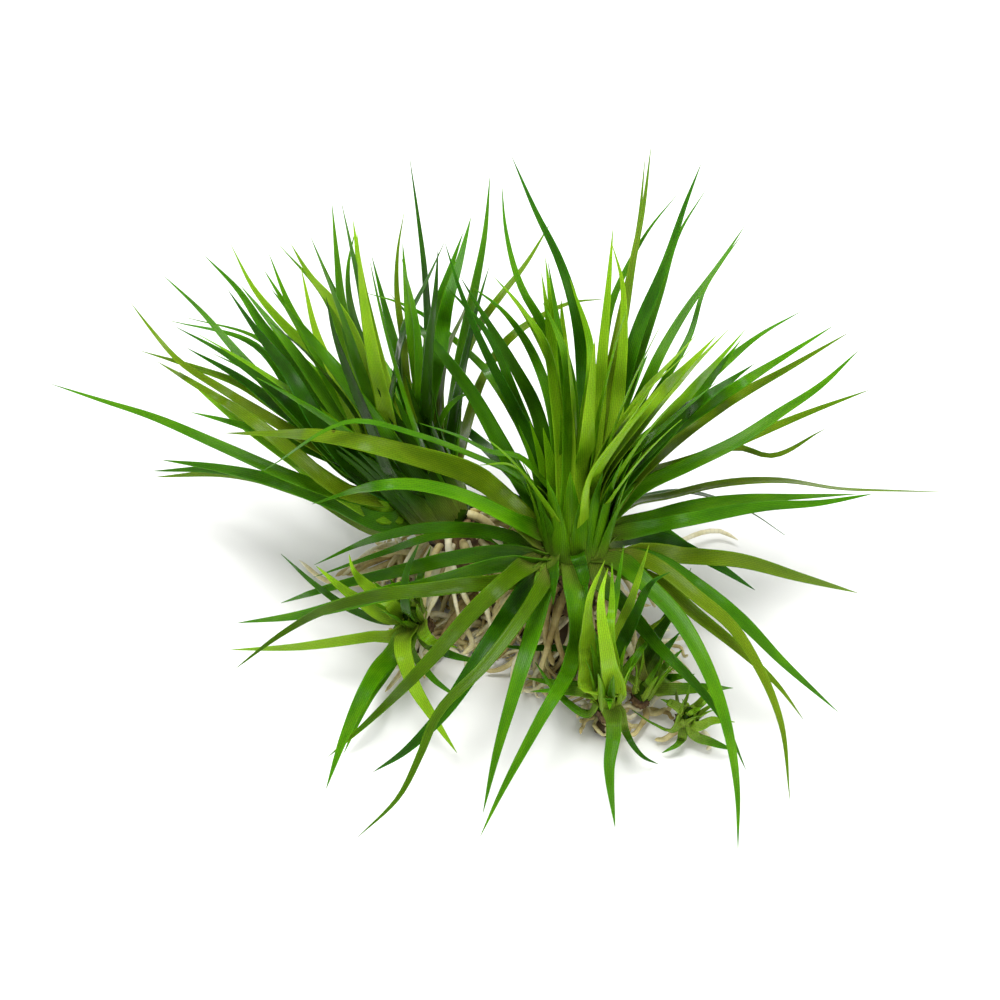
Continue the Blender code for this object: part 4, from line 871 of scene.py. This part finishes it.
def add_blade(shape, strand, dice):
    """Adds a leaf to a rosette's shape."""
    width = strand.widths.max()
    axis = unit(PLANTS[strand.plant].axis)
    upright = max(unit(strand.points[-1] - strand.points[0]) @ axis, 0)
    points = strand.points.copy()
    points[0] -= axis * upright * PLANTS[strand.plant].crown_height * FOOT_DROP * MM
    line, across, upward, length = frames_along(points, strand.facing, BLADE_STATIONS, dice.uniform(-0.5, 0.5))
    sections = blade_sections(width, BLADE_STATIONS)
    place = np.empty((*sections.shape[:2], 3))
    place[..., 0] = sections[..., 0] / MM
    place[..., 1] = (BLADE_STATIONS * length)[:, None] / MM
    place[..., 2] = BLADE_STATIONS[:, None]
    # The leaf's tone, with the painted shade or painted light that it carries.
    tone = SHADE_AND_AGE_TONES[strand.tone] + dice.uniform(-0.06, 0.06)
    olive = OLIVE_TONES.get(strand.tone, 0) + dice.uniform(0, 0.12)
    shape.add(swept(line, across, upward, sections), place, (tone, olive, dice.random()))


# %% [markdown]
# ## Crowns
# The leaves' feet clasp a low dome. It hardly shows, but without it one would see daylight between the feet. It is
# painted a deep green, as painted shade among the feet.

# %% Crown domes
def turned_rings(foot, axis, profile, sides, wobble, dice):
    """Rings about an axis, from pairs of height and radius in mm, with radii that waver a little."""
    axis = unit(axis)
    side = unit(np.cross([0, 1, 0], axis))
    back = np.cross(axis, side)
    turns = np.arange(sides) * math.tau / sides
    start = dice.uniform(0, 100)
    rings = []
    for height, radius in profile:
        waver = [1 + wobble * noise.noise((math.cos(t) * 2, math.sin(t) * 2, start + height * 0.6)) for t in turns]
        outward = (side * np.cos(turns)[:, None] + back * np.sin(turns)[:, None]) * (radius * np.array(waver))[:, None]
        rings.append((np.array(foot) + axis * height + outward) * MM)
    return np.array(rings)


def crown_rings(plant, dice):
    half = plant.crown_height / 2
    foot = np.array(plant.centre) - unit(plant.axis) * half
    rises = np.linspace(0, 1, 9)
    radii = plant.crown_radius * np.sqrt(np.maximum(1 - rises**2.4, 0.0004)) * 0.74
    profile = list(zip(rises * half * 2.3, radii))
    return turned_rings(foot, plant.axis, profile, 28, 0.12, dice)


def add_sheath(shape, name, plant, turn, dice):
    """Adds a short broad leaf that clasps the crown and leans out from it."""
    axis = unit(plant.axis)
    side = unit(np.cross([0, 1, 0], axis))
    outward = side * math.cos(turn) + np.cross(axis, side) * math.sin(turn)
    reach = plant.crown_height / 2 * dice.uniform(0.6, 1.05)
    girth = plant.crown_radius * dice.uniform(0.88, 1.04)
    line = [np.array(plant.centre) + axis * rise * reach + outward * out * girth for rise, out in SHEATH_PROFILE]
    points, across, upward, length = frames_along(
        np.array(line) * MM, -outward, BLADE_STATIONS, dice.uniform(-0.3, 0.3)
    )
    sections = blade_sections(plant.crown_radius * dice.uniform(0.55, 0.72) * MM, BLADE_STATIONS)
    place = np.empty((*sections.shape[:2], 3))
    place[..., 0] = sections[..., 0] / MM
    place[..., 1] = (BLADE_STATIONS * length)[:, None] / MM
    place[..., 2] = BLADE_STATIONS[:, None]
    # The left plant's sheaths take painted shade: a tone near the darkest green.
    tone = dice.uniform(*SHEATH_TONES_AND_SHADE.get(name, (0.5, 0.8)))
    shape.add(swept(points, across, upward, sections), place, (tone, 0.1, dice.random()))


def rosette_mesh(name, plant):
    dice = random.Random(f"{name} leaves")
    shape = Shape()
    for strand in leaves:
        if strand.plant == name:
            add_blade(shape, strand, dice)
    for k in range(round(plant.crown_radius * SHEATHS_PER_MM)):
        add_sheath(shape, name, plant, k * GOLDEN_TURN, dice)
    rings = crown_rings(plant, dice)
    # The dome gets painted shade: a deep green tone, placed past the pale foot.
    shape.add(rings, np.full(rings.shape, PAST_THE_PALE_FOOT), DOME_SHADE_TONE)
    return shape.mesh(f"{name}_leaves")


rosettes = {}
for name, plant in PLANTS.items():
    piece = bpy.data.objects.new(f"{name}_leaves", rosette_mesh(name, plant))
    bpy.context.scene.collection.objects.link(piece)
    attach(piece, "root")
    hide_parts(f"{name}_rosette")
    rosettes[name] = piece
    print(piece.name, len(piece.data.polygons), "faces")

# %% [markdown]
# ## Rootstocks
# Under each crown is a short brown stem. It is ringed with the stubs of leaves that were shed, so short broad
# scales are set round it by the golden angle, each lying close and pointing up.

# %% Rootstocks with their scales
SCALE_STATIONS = np.linspace(0, 1, 9)


def add_scale(shape, plant, height, turn, dice):
    """Adds the dry stub of an old leaf at this height, in mm, up a rootstock."""
    axis = unit(plant.axis)
    foot, _ = stock_span(plant)
    side = unit(np.cross([0, 1, 0], axis))
    outward = side * math.cos(turn) + np.cross(axis, side) * math.sin(turn)
    radius = plant.crown_radius * 0.8
    reach = radius * dice.uniform(0.45, 0.75)
    start = np.array(foot) + axis * height + outward * radius * 0.86
    line = [start + axis * reach * s + outward * reach * 0.25 * s**2 for s in (0, 0.5, 1)]
    points, across, upward, length = frames_along(np.array(line) * MM, -outward, SCALE_STATIONS)
    sections = blade_sections(radius * 0.75 * MM, SCALE_STATIONS * 0.8)
    place = np.zeros((*sections.shape[:2], 3))
    place[..., 1] = (SCALE_STATIONS * length)[:, None] / MM
    shape.add(swept(points, across, upward, sections), place, (0, 0, dice.random()))


def rootstock_mesh(name, plant):
    dice = random.Random(f"{name} stock")
    foot, _ = stock_span(plant)
    shape = Shape()
    rises = np.linspace(0, 1, 14)
    radii = plant.crown_radius * 0.8 * (0.88 + 0.06 * np.sin(rises * 30))
    rings = turned_rings(foot, plant.axis, list(zip(rises * plant.stock_height, radii)), 24, 0.2, dice)
    shape.add(rings, np.zeros(rings.shape), (0, 0, dice.random()))
    scales = int(plant.crown_radius * 4)
    for k in range(scales):
        height = plant.stock_height * np.interp(k, (0, scales - 1), (0.05, 0.62))
        add_scale(shape, plant, height, k * GOLDEN_TURN, dice)
    return shape.mesh(f"{name}_stock")


rootstocks = []
for name, plant in PLANTS.items():
    piece = bpy.data.objects.new(f"{name}_stock", rootstock_mesh(name, plant))
    bpy.context.scene.collection.objects.link(piece)
    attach(piece, "root")
    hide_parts(f"{name}_rootstock")
    rootstocks.append(piece)
print(len(rootstocks), "rootstocks")

# %% [markdown]
# ## The root mat
# The frame's mat has some sixty plain roots. The real one has hundreds, so more are grown from the same places.
# They are the roots that one sees from the side and between the leaves. A root is a soft round cord, never quite
# even, with a blunt tip.

# %% Root mat
ROOT_STATIONS = np.linspace(0, 1, 24)
ROOT_TURNS = np.arange(8) * math.tau / 8
HANGING_ROOTS_PER_MM = 4  # of the crown's radius
MORE_ROOTS = (
    ((0, 0, 12), 50, 1),
    ((-9, 7, 11), 34, 0.9),
    ((-19, 13, 13), 50, 0.9),
    ((-31, 21, 12), 44, 0.7),
    ((-40, 22, 9), 40, 0.6),
    ((-33, -2, 6), 18, 0.5),
    ((7, -24, 4.5), 14, 0.4),
    ((14, -6, 6), 24, 0.6),
    ((16, -21.5, 2.8), 6, 0.4),
    ((25, -28, 2.4), 5, 0.35),
)


def add_root(shape, strand, width, dice):
    line, across, upward, length = frames_along(strand.points, strand.facing, ROOT_STATIONS)
    start = dice.uniform(0, 100)
    swell = np.array([1 + 0.22 * noise.noise((start, share * length / MM * 0.5, 0)) for share in ROOT_STATIONS])
    blunt = np.sqrt(np.clip(1 - ((ROOT_STATIONS - 0.9) / 0.1).clip(0) ** 2, 0.02, 1))
    half = width / 2 * swell * blunt * np.interp(ROOT_STATIONS, (0, 1), (1, 0.62))
    sections = half[:, None, None] * np.stack([np.cos(ROOT_TURNS), np.sin(ROOT_TURNS)], axis=-1)
    place = np.zeros((*sections.shape[:2], 3))
    place[..., 0] = sections[..., 0] / MM
    place[..., 1] = (ROOT_STATIONS * length)[:, None] / MM
    place[..., 2] = ROOT_STATIONS[:, None]
    shape.add(swept(line, across, upward, sections), place, (dice.random(), 0, dice.random()))


def hanging_roots(plant, dice):
    """Roots that leave the sides of a rootstock and hang down over it."""
    axis = unit(plant.axis)
    foot, _ = stock_span(plant)
    side = unit(np.cross([0, 1, 0], axis))
    strands = []
    for k in range(round(plant.crown_radius * HANGING_ROOTS_PER_MM)):
        turn = k * GOLDEN_TURN
        outward = side * math.cos(turn) + np.cross(axis, side) * math.sin(turn)
        point = foot + axis * plant.stock_height * dice.uniform(0.3, 1.05) + outward * plant.crown_radius * 0.66
        course = outward * 0.9 - np.array([0, 0, dice.uniform(0.1, 0.8)])
        bend = dice.uniform(-0.6, 0.6)
        places = [point]
        for _ in range(ROOT_STEPS):
            point = point + unit(course) * plant.crown_radius * dice.uniform(0.3, 0.5)
            point[2] = max(point[2], ROOT_FLOOR / MM + dice.uniform(0, 1.5))
            places.append(point)
            course = course + np.cross(course, [0, 0, 1]) * bend * 0.5 - np.array([0, 0, 0.35])
        strands.append(root_strand(smooth_path(places, STRAND_POINTS) * MM))
    return strands


def root_mat_mesh():
    dice = random.Random("root mat")
    shape = Shape()
    for strand in roots:
        add_root(shape, strand, ROOT_WIDTH * dice.uniform(0.7, 0.95), dice)
    for strand in grow_roots(MORE_ROOTS, dice):
        add_root(shape, strand, ROOT_WIDTH * dice.uniform(0.5, 0.9), dice)
    for name, plant in PLANTS.items():
        if name in YOUNG_PLANTS:
            continue
        for strand in hanging_roots(plant, dice):
            add_root(shape, strand, plant.crown_radius * dice.uniform(0.16, 0.26) * MM, dice)
    for foot, reach, height in MAT_LUMPS:
        rises = np.linspace(0, 1, 10)
        radii = min(reach) * 0.82 * np.sqrt(np.maximum(1 - rises**2.2, 0.01))
        rings = turned_rings(foot, (0, 0, 1), list(zip(rises * height * 0.86, radii)), 30, 0.3, dice)
        # The lumps fill the mat's middle and are painted dark brown, as painted shade between the roots.
        shape.add(rings, np.zeros(rings.shape), (0, 1, 0))
    return shape.mesh("roots")


root_mat = bpy.data.objects.new("roots", root_mat_mesh())
bpy.context.scene.collection.objects.link(root_mat)
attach(root_mat, "root")
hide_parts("root_mat")
print("roots:", len(root_mat.data.polygons), "faces")

# %% [markdown]
# ## Node helper and colours
# Materials are networks of nodes. One small function adds a node, sets it and links it. Colours are picked as
# sRGB hex values, as a screen shows them, and Blender reckons in linear light, so one function turns them.

# %% Node helper and colours
def linear(hex_colour):
    shares = [int(hex_colour[k : k + 2], 16) / 255 for k in (1, 3, 5)]
    return (*(s / 12.92 if s <= 0.04045 else ((s + 0.055) / 1.055) ** 2.4 for s in shares), 1)


def new_material(name):
    material = bpy.data.materials.new(name)
    material.use_nodes = True
    material.node_tree.nodes.clear()
    return material


def add(material, kind, settings=None, **inputs):
    """Adds a node. Inputs are values or other nodes' outputs, named with _ for a space or by _0, _1 for a place."""
    node = material.node_tree.nodes.new(kind)
    for key, value in (settings or {}).items():
        setattr(node, key, value)
    for key, value in inputs.items():
        socket = node.inputs[int(key[1:])] if key[1:].isdigit() else node.inputs[key.replace("_", " ")]
        if isinstance(value, bpy.types.NodeSocket):
            material.node_tree.links.new(value, socket)
        else:
            socket.default_value = value
    return node


def set_ramp(node, stops):
    """Gives a colour ramp its stops: pairs of place and hex colour."""
    elements = node.color_ramp.elements
    while len(elements) < len(stops):
        elements.new(0.5)
    for element, (place, colour) in zip(elements, stops):
        element.position = place
        element.color = linear(colour)


print("a middle leaf green in linear light:", [round(value, 3) for value in linear("#3c840f")])

# %% [markdown]
# ## Leaf tissue
# The leaf is wet, living tissue: chlorophyll green under a thin, glossy skin, and thin enough that light comes
# through. Under the skin, lengthwise veins are joined by cross walls, which make the fine ladder pattern that
# pipewort is known by. The cells between are air spaces, about 0.4 mm wide and 1.3 mm long. Leaves get darker,
# then olive, as they age, and their clasping feet are nearly white. A leaf's tone also carries painted shade on
# the deep and dark leaves that lie inside the clump, and painted light on the bright ones that light shines
# through. All of this hangs on the place and tone that each vertex keeps, so no leaf is the same as the next.

# %% Leaf material
LATTICE_CELL = 1.3
LATTICE_ROW = 0.42
LATTICE_WALL = 0.07


def leaf_material(name, lift):
    """Living leaf, with young plants lifted towards the brighter greens."""
    leaf_tissue = new_material(name)
    place = add(leaf_tissue, "ShaderNodeAttribute", {"attribute_name": "grown_place"}).outputs["Vector"]
    tone = add(leaf_tissue, "ShaderNodeAttribute", {"attribute_name": "grown_tone"}).outputs["Vector"]
    on_leaf = add(leaf_tissue, "ShaderNodeSeparateXYZ", Vector=place).outputs
    of_leaf = add(leaf_tissue, "ShaderNodeSeparateXYZ", Vector=tone).outputs

    # Broad patches of lighter and darker green, a few millimetres across and drawn out along the leaf.
    patches_at = add(leaf_tissue, "ShaderNodeCombineXYZ", X=on_leaf["X"], Y=on_leaf["Y"], Z=of_leaf["Z"])
    stretched = add(
        leaf_tissue, "ShaderNodeVectorMath", {"operation": "MULTIPLY"}, _0=patches_at.outputs[0], _1=(0.35, 0.09, 40)
    )
    patches = add(leaf_tissue, "ShaderNodeTexNoise", Vector=stretched.outputs[0], Scale=1.0, Detail=3.0)
    varied = add(
        leaf_tissue, "ShaderNodeMath", {"operation": "MULTIPLY_ADD"}, _0=patches.outputs["Fac"], _1=0.45, _2=-0.225 + lift
    )
    brighter = add(leaf_tissue, "ShaderNodeMath", {"operation": "ADD"}, _0=of_leaf["X"], _1=varied.outputs[0])
    # The tone picks the green: its dark end is painted shade, its bright end partly painted light.
    green = add(leaf_tissue, "ShaderNodeValToRGB", Fac=brighter.outputs[0])
    set_ramp(green, ((0, "#143101"), (0.25, "#265403"), (0.5, "#407706"), (0.75, "#64990c"), (1, "#84ae1c")))

    # Ageing turns the green to olive.
    olive = add(leaf_tissue, "ShaderNodeValToRGB", Fac=brighter.outputs[0])
    set_ramp(olive, ((0, "#3d4d08"), (0.5, "#58700c"), (1, "#7d8f1c")))
    aged = add(
        leaf_tissue, "ShaderNodeMix", {"data_type": "RGBA"}, Factor=of_leaf["Y"], _6=green.outputs[0], _7=olive.outputs[0]
    )

    # The clasping foot pales, and on an old leaf it turns to straw.
    straw = add(
        leaf_tissue, "ShaderNodeMix", {"data_type": "RGBA"}, Factor=of_leaf["Y"], _6=linear("#8fa63a"),
        _7=linear("#a5925a"),
    )
    foot = add(
        leaf_tissue, "ShaderNodeMapRange", {"interpolation_type": "SMOOTHSTEP"}, Value=on_leaf["Y"], _1=1.0, _2=12.0, _3=0.55, _4=0.0
    )
    paled = add(
        leaf_tissue, "ShaderNodeMix", {"data_type": "RGBA"}, Factor=foot.outputs[0], _6=aged.outputs[2], _7=straw.outputs[2]
    )

    # Here and there a brown speck.
    specks = add(leaf_tissue, "ShaderNodeTexNoise", Vector=patches_at.outputs[0], Scale=0.45, Detail=2.0)
    speck = add(leaf_tissue, "ShaderNodeMapRange", Value=specks.outputs["Fac"], _1=0.74, _2=0.8, _3=0.0, _4=0.85)
    specked = add(
        leaf_tissue, "ShaderNodeMix", {"data_type": "RGBA"}, Factor=speck.outputs[0], _6=paled.outputs[2],
        _7=linear("#4a3d12"),
    )

    # The ladder of veins and cross walls.
    across_first = add(leaf_tissue, "ShaderNodeCombineXYZ", X=on_leaf["Y"], Y=on_leaf["X"])
    ladder = add(
        leaf_tissue, "ShaderNodeTexBrick", {"offset": 0.5}, Vector=across_first.outputs[0],
        Color1=(1, 1, 1, 1), Color2=(0.8, 0.8, 0.8, 1), Mortar=(0, 0, 0, 1), Scale=1.0,
        Mortar_Size=LATTICE_WALL, Mortar_Smooth=0.6, Brick_Width=LATTICE_CELL, Row_Height=LATTICE_ROW,
    )
    darker = add(
        leaf_tissue, "ShaderNodeMix", {"data_type": "RGBA", "blend_type": "MULTIPLY"}, Factor=0.38, _6=specked.outputs[2],
        _7=ladder.outputs["Color"],
    )

    relief = add(leaf_tissue, "ShaderNodeBump", Strength=0.5, Distance=0.05 * MM, Height=ladder.outputs["Color"])
    skin = add(
        leaf_tissue, "ShaderNodeBsdfPrincipled", Base_Color=darker.outputs[2], Roughness=0.27, IOR=1.36, Specular_IOR_Level=0.14,
        Subsurface_Weight=0.35, Subsurface_Radius=(0.5, 1.0, 0.15), Subsurface_Scale=1.0 * MM,
        Normal=relief.outputs[0],
    )
    add(leaf_tissue, "ShaderNodeOutputMaterial", Surface=skin.outputs[0])
    return leaf_tissue


grown_leaf = leaf_material("living leaf", 0.0)
young_leaf = leaf_material("young living leaf", 0.03)
for name, piece in rosettes.items():
    piece.data.materials.append(young_leaf if name in YOUNG_PLANTS else grown_leaf)
print("leaf materials on", len(rosettes), "rosettes")

# %% [markdown]
# ## Root and rootstock
# Fresh roots are cream, spongy cords, banded by cross walls every millimetre or so, and stained brown where they
# have lain in the gravel. The stock is dark brown and corky.

# %% Root and rootstock materials
root_cord = new_material("fresh root")
place = add(root_cord, "ShaderNodeAttribute", {"attribute_name": "grown_place"}).outputs["Vector"]
tone = add(root_cord, "ShaderNodeAttribute", {"attribute_name": "grown_tone"}).outputs["Vector"]
on_root = add(root_cord, "ShaderNodeSeparateXYZ", Vector=place).outputs
of_root = add(root_cord, "ShaderNodeSeparateXYZ", Vector=tone).outputs
where = add(root_cord, "ShaderNodeTexCoord").outputs["Object"]
stains = add(root_cord, "ShaderNodeTexNoise", Vector=where, Scale=160.0, Detail=4.0)
stained = add(root_cord, "ShaderNodeMath", {"operation": "MULTIPLY_ADD"}, _0=of_root["X"], _1=0.5, _2=stains.outputs["Fac"])
cord_colour = add(root_cord, "ShaderNodeValToRGB", Fac=stained.outputs[0])
set_ramp(cord_colour, ((0.3, "#75602f"), (0.5, "#a8955c"), (0.75, "#cfc48e"), (1, "#e8e2c4")))
bands_at = add(root_cord, "ShaderNodeMath", {"operation": "MULTIPLY"}, _0=on_root["Y"], _1=math.tau / 1.1)
bands = add(root_cord, "ShaderNodeMath", {"operation": "SINE"}, _0=bands_at.outputs[0])
banded = add(root_cord, "ShaderNodeMapRange", Value=bands.outputs[0], _1=0.3, _2=1.0, _3=1.0, _4=0.92)
cord_banded = add(
    root_cord, "ShaderNodeMix", {"data_type": "RGBA", "blend_type": "MULTIPLY"}, Factor=1.0, _6=cord_colour.outputs[0],
    _7=banded.outputs[0],
)
# Where the second tone is 1, on the mat's lumps, the colour is a dark brown painted shade, as between the roots.
shaded_core = add(
    root_cord, "ShaderNodeMix", {"data_type": "RGBA"}, Factor=of_root["Y"], _6=cord_banded.outputs[2], _7=linear("#4a3a22")
)
grain = add(root_cord, "ShaderNodeBump", Strength=0.4, Distance=0.1 * MM, Height=stains.outputs["Fac"])
cord_skin = add(
    root_cord, "ShaderNodeBsdfPrincipled", Base_Color=shaded_core.outputs[2], Roughness=0.55, IOR=1.4,
    Subsurface_Weight=0.25, Subsurface_Radius=(1.0, 0.8, 0.5), Subsurface_Scale=0.8 * MM, Normal=grain.outputs[0],
)
add(root_cord, "ShaderNodeOutputMaterial", Surface=cord_skin.outputs[0])
root_mat.data.materials.append(root_cord)

corky_stock = new_material("corky rootstock")
where = add(corky_stock, "ShaderNodeTexCoord").outputs["Object"]
cork = add(corky_stock, "ShaderNodeTexNoise", Vector=where, Scale=420.0, Detail=5.0)
cork_colour = add(corky_stock, "ShaderNodeValToRGB", Fac=cork.outputs["Fac"])
set_ramp(cork_colour, ((0.3, "#2c1d0c"), (0.5, "#5b4322"), (0.7, "#8a744a")))
cork_relief = add(corky_stock, "ShaderNodeBump", Strength=0.7, Distance=0.3 * MM, Height=cork.outputs["Fac"])
cork_skin = add(
    corky_stock, "ShaderNodeBsdfPrincipled", Base_Color=cork_colour.outputs[0], Roughness=0.8, Normal=cork_relief.outputs[0]
)
add(corky_stock, "ShaderNodeOutputMaterial", Surface=cork_skin.outputs[0])
for piece in rootstocks:
    piece.data.materials.append(corky_stock)
print("root and rootstock materials are set")

# %% [markdown]
# ## Floor and light
# The clump lies on a sheet of pale card, under soft light from above, with a weaker one from the front.

# %% Floor and light
card = new_material("pale card")
card_skin = add(card, "ShaderNodeBsdfPrincipled", Base_Color=linear("#f6f6f4"), Roughness=0.9)
add(card, "ShaderNodeOutputMaterial", Surface=card_skin.outputs[0])
FLOOR_REACH = 3.0
floor_mesh = bpy.data.meshes.new("floor")
corners = [(x * FLOOR_REACH, y * FLOOR_REACH, 0) for x, y in ((-1, -1), (1, -1), (1, 1), (-1, 1))]
floor_mesh.from_pydata(corners, [], [(0, 1, 2, 3)])
floor = bpy.data.objects.new("floor", floor_mesh)
floor_mesh.materials.append(card)
bpy.context.scene.collection.objects.link(floor)
floor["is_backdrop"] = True


def add_softbox(name, place, size, watts):
    """A square soft light that looks at the middle of the clump."""
    box = bpy.data.objects.new(name, bpy.data.lights.new(name, "AREA"))
    box.data.size = size
    box.data.energy = watts
    box.location = place
    box.rotation_euler = (Vector((0, 0, 0.04)) - Vector(place)).to_track_quat("-Z", "Y").to_euler()
    bpy.context.scene.collection.objects.link(box)


add_softbox("overhead softbox", (-0.1, 0.05, 0.9), 0.5, 10.5)
add_softbox("front softbox", (0.5, -0.7, 0.6), 0.6, 4)
room = bpy.data.worlds.new("room")
room.use_nodes = True
room.node_tree.nodes["Background"].inputs["Color"].default_value = (1, 1, 1, 1)
room.node_tree.nodes["Background"].inputs["Strength"].default_value = 0.5
bpy.context.scene.world = room
bpy.context.scene.view_settings.view_transform = "Standard"

# %% [markdown]
# ## Sizes
# Both boxes, of the solids and of the finer meshes, are printed side by side. The finer meshes may stand a
# little proud of the solids, but not past them by more than a few millimetres.

# %% Sizes and finish
looks_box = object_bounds()
for label, (low, high) in (("solids", cad_box), ("looks", looks_box)):
    print(label, [round((b - a) / MM, 1) for a, b in zip(low, high)], "mm")
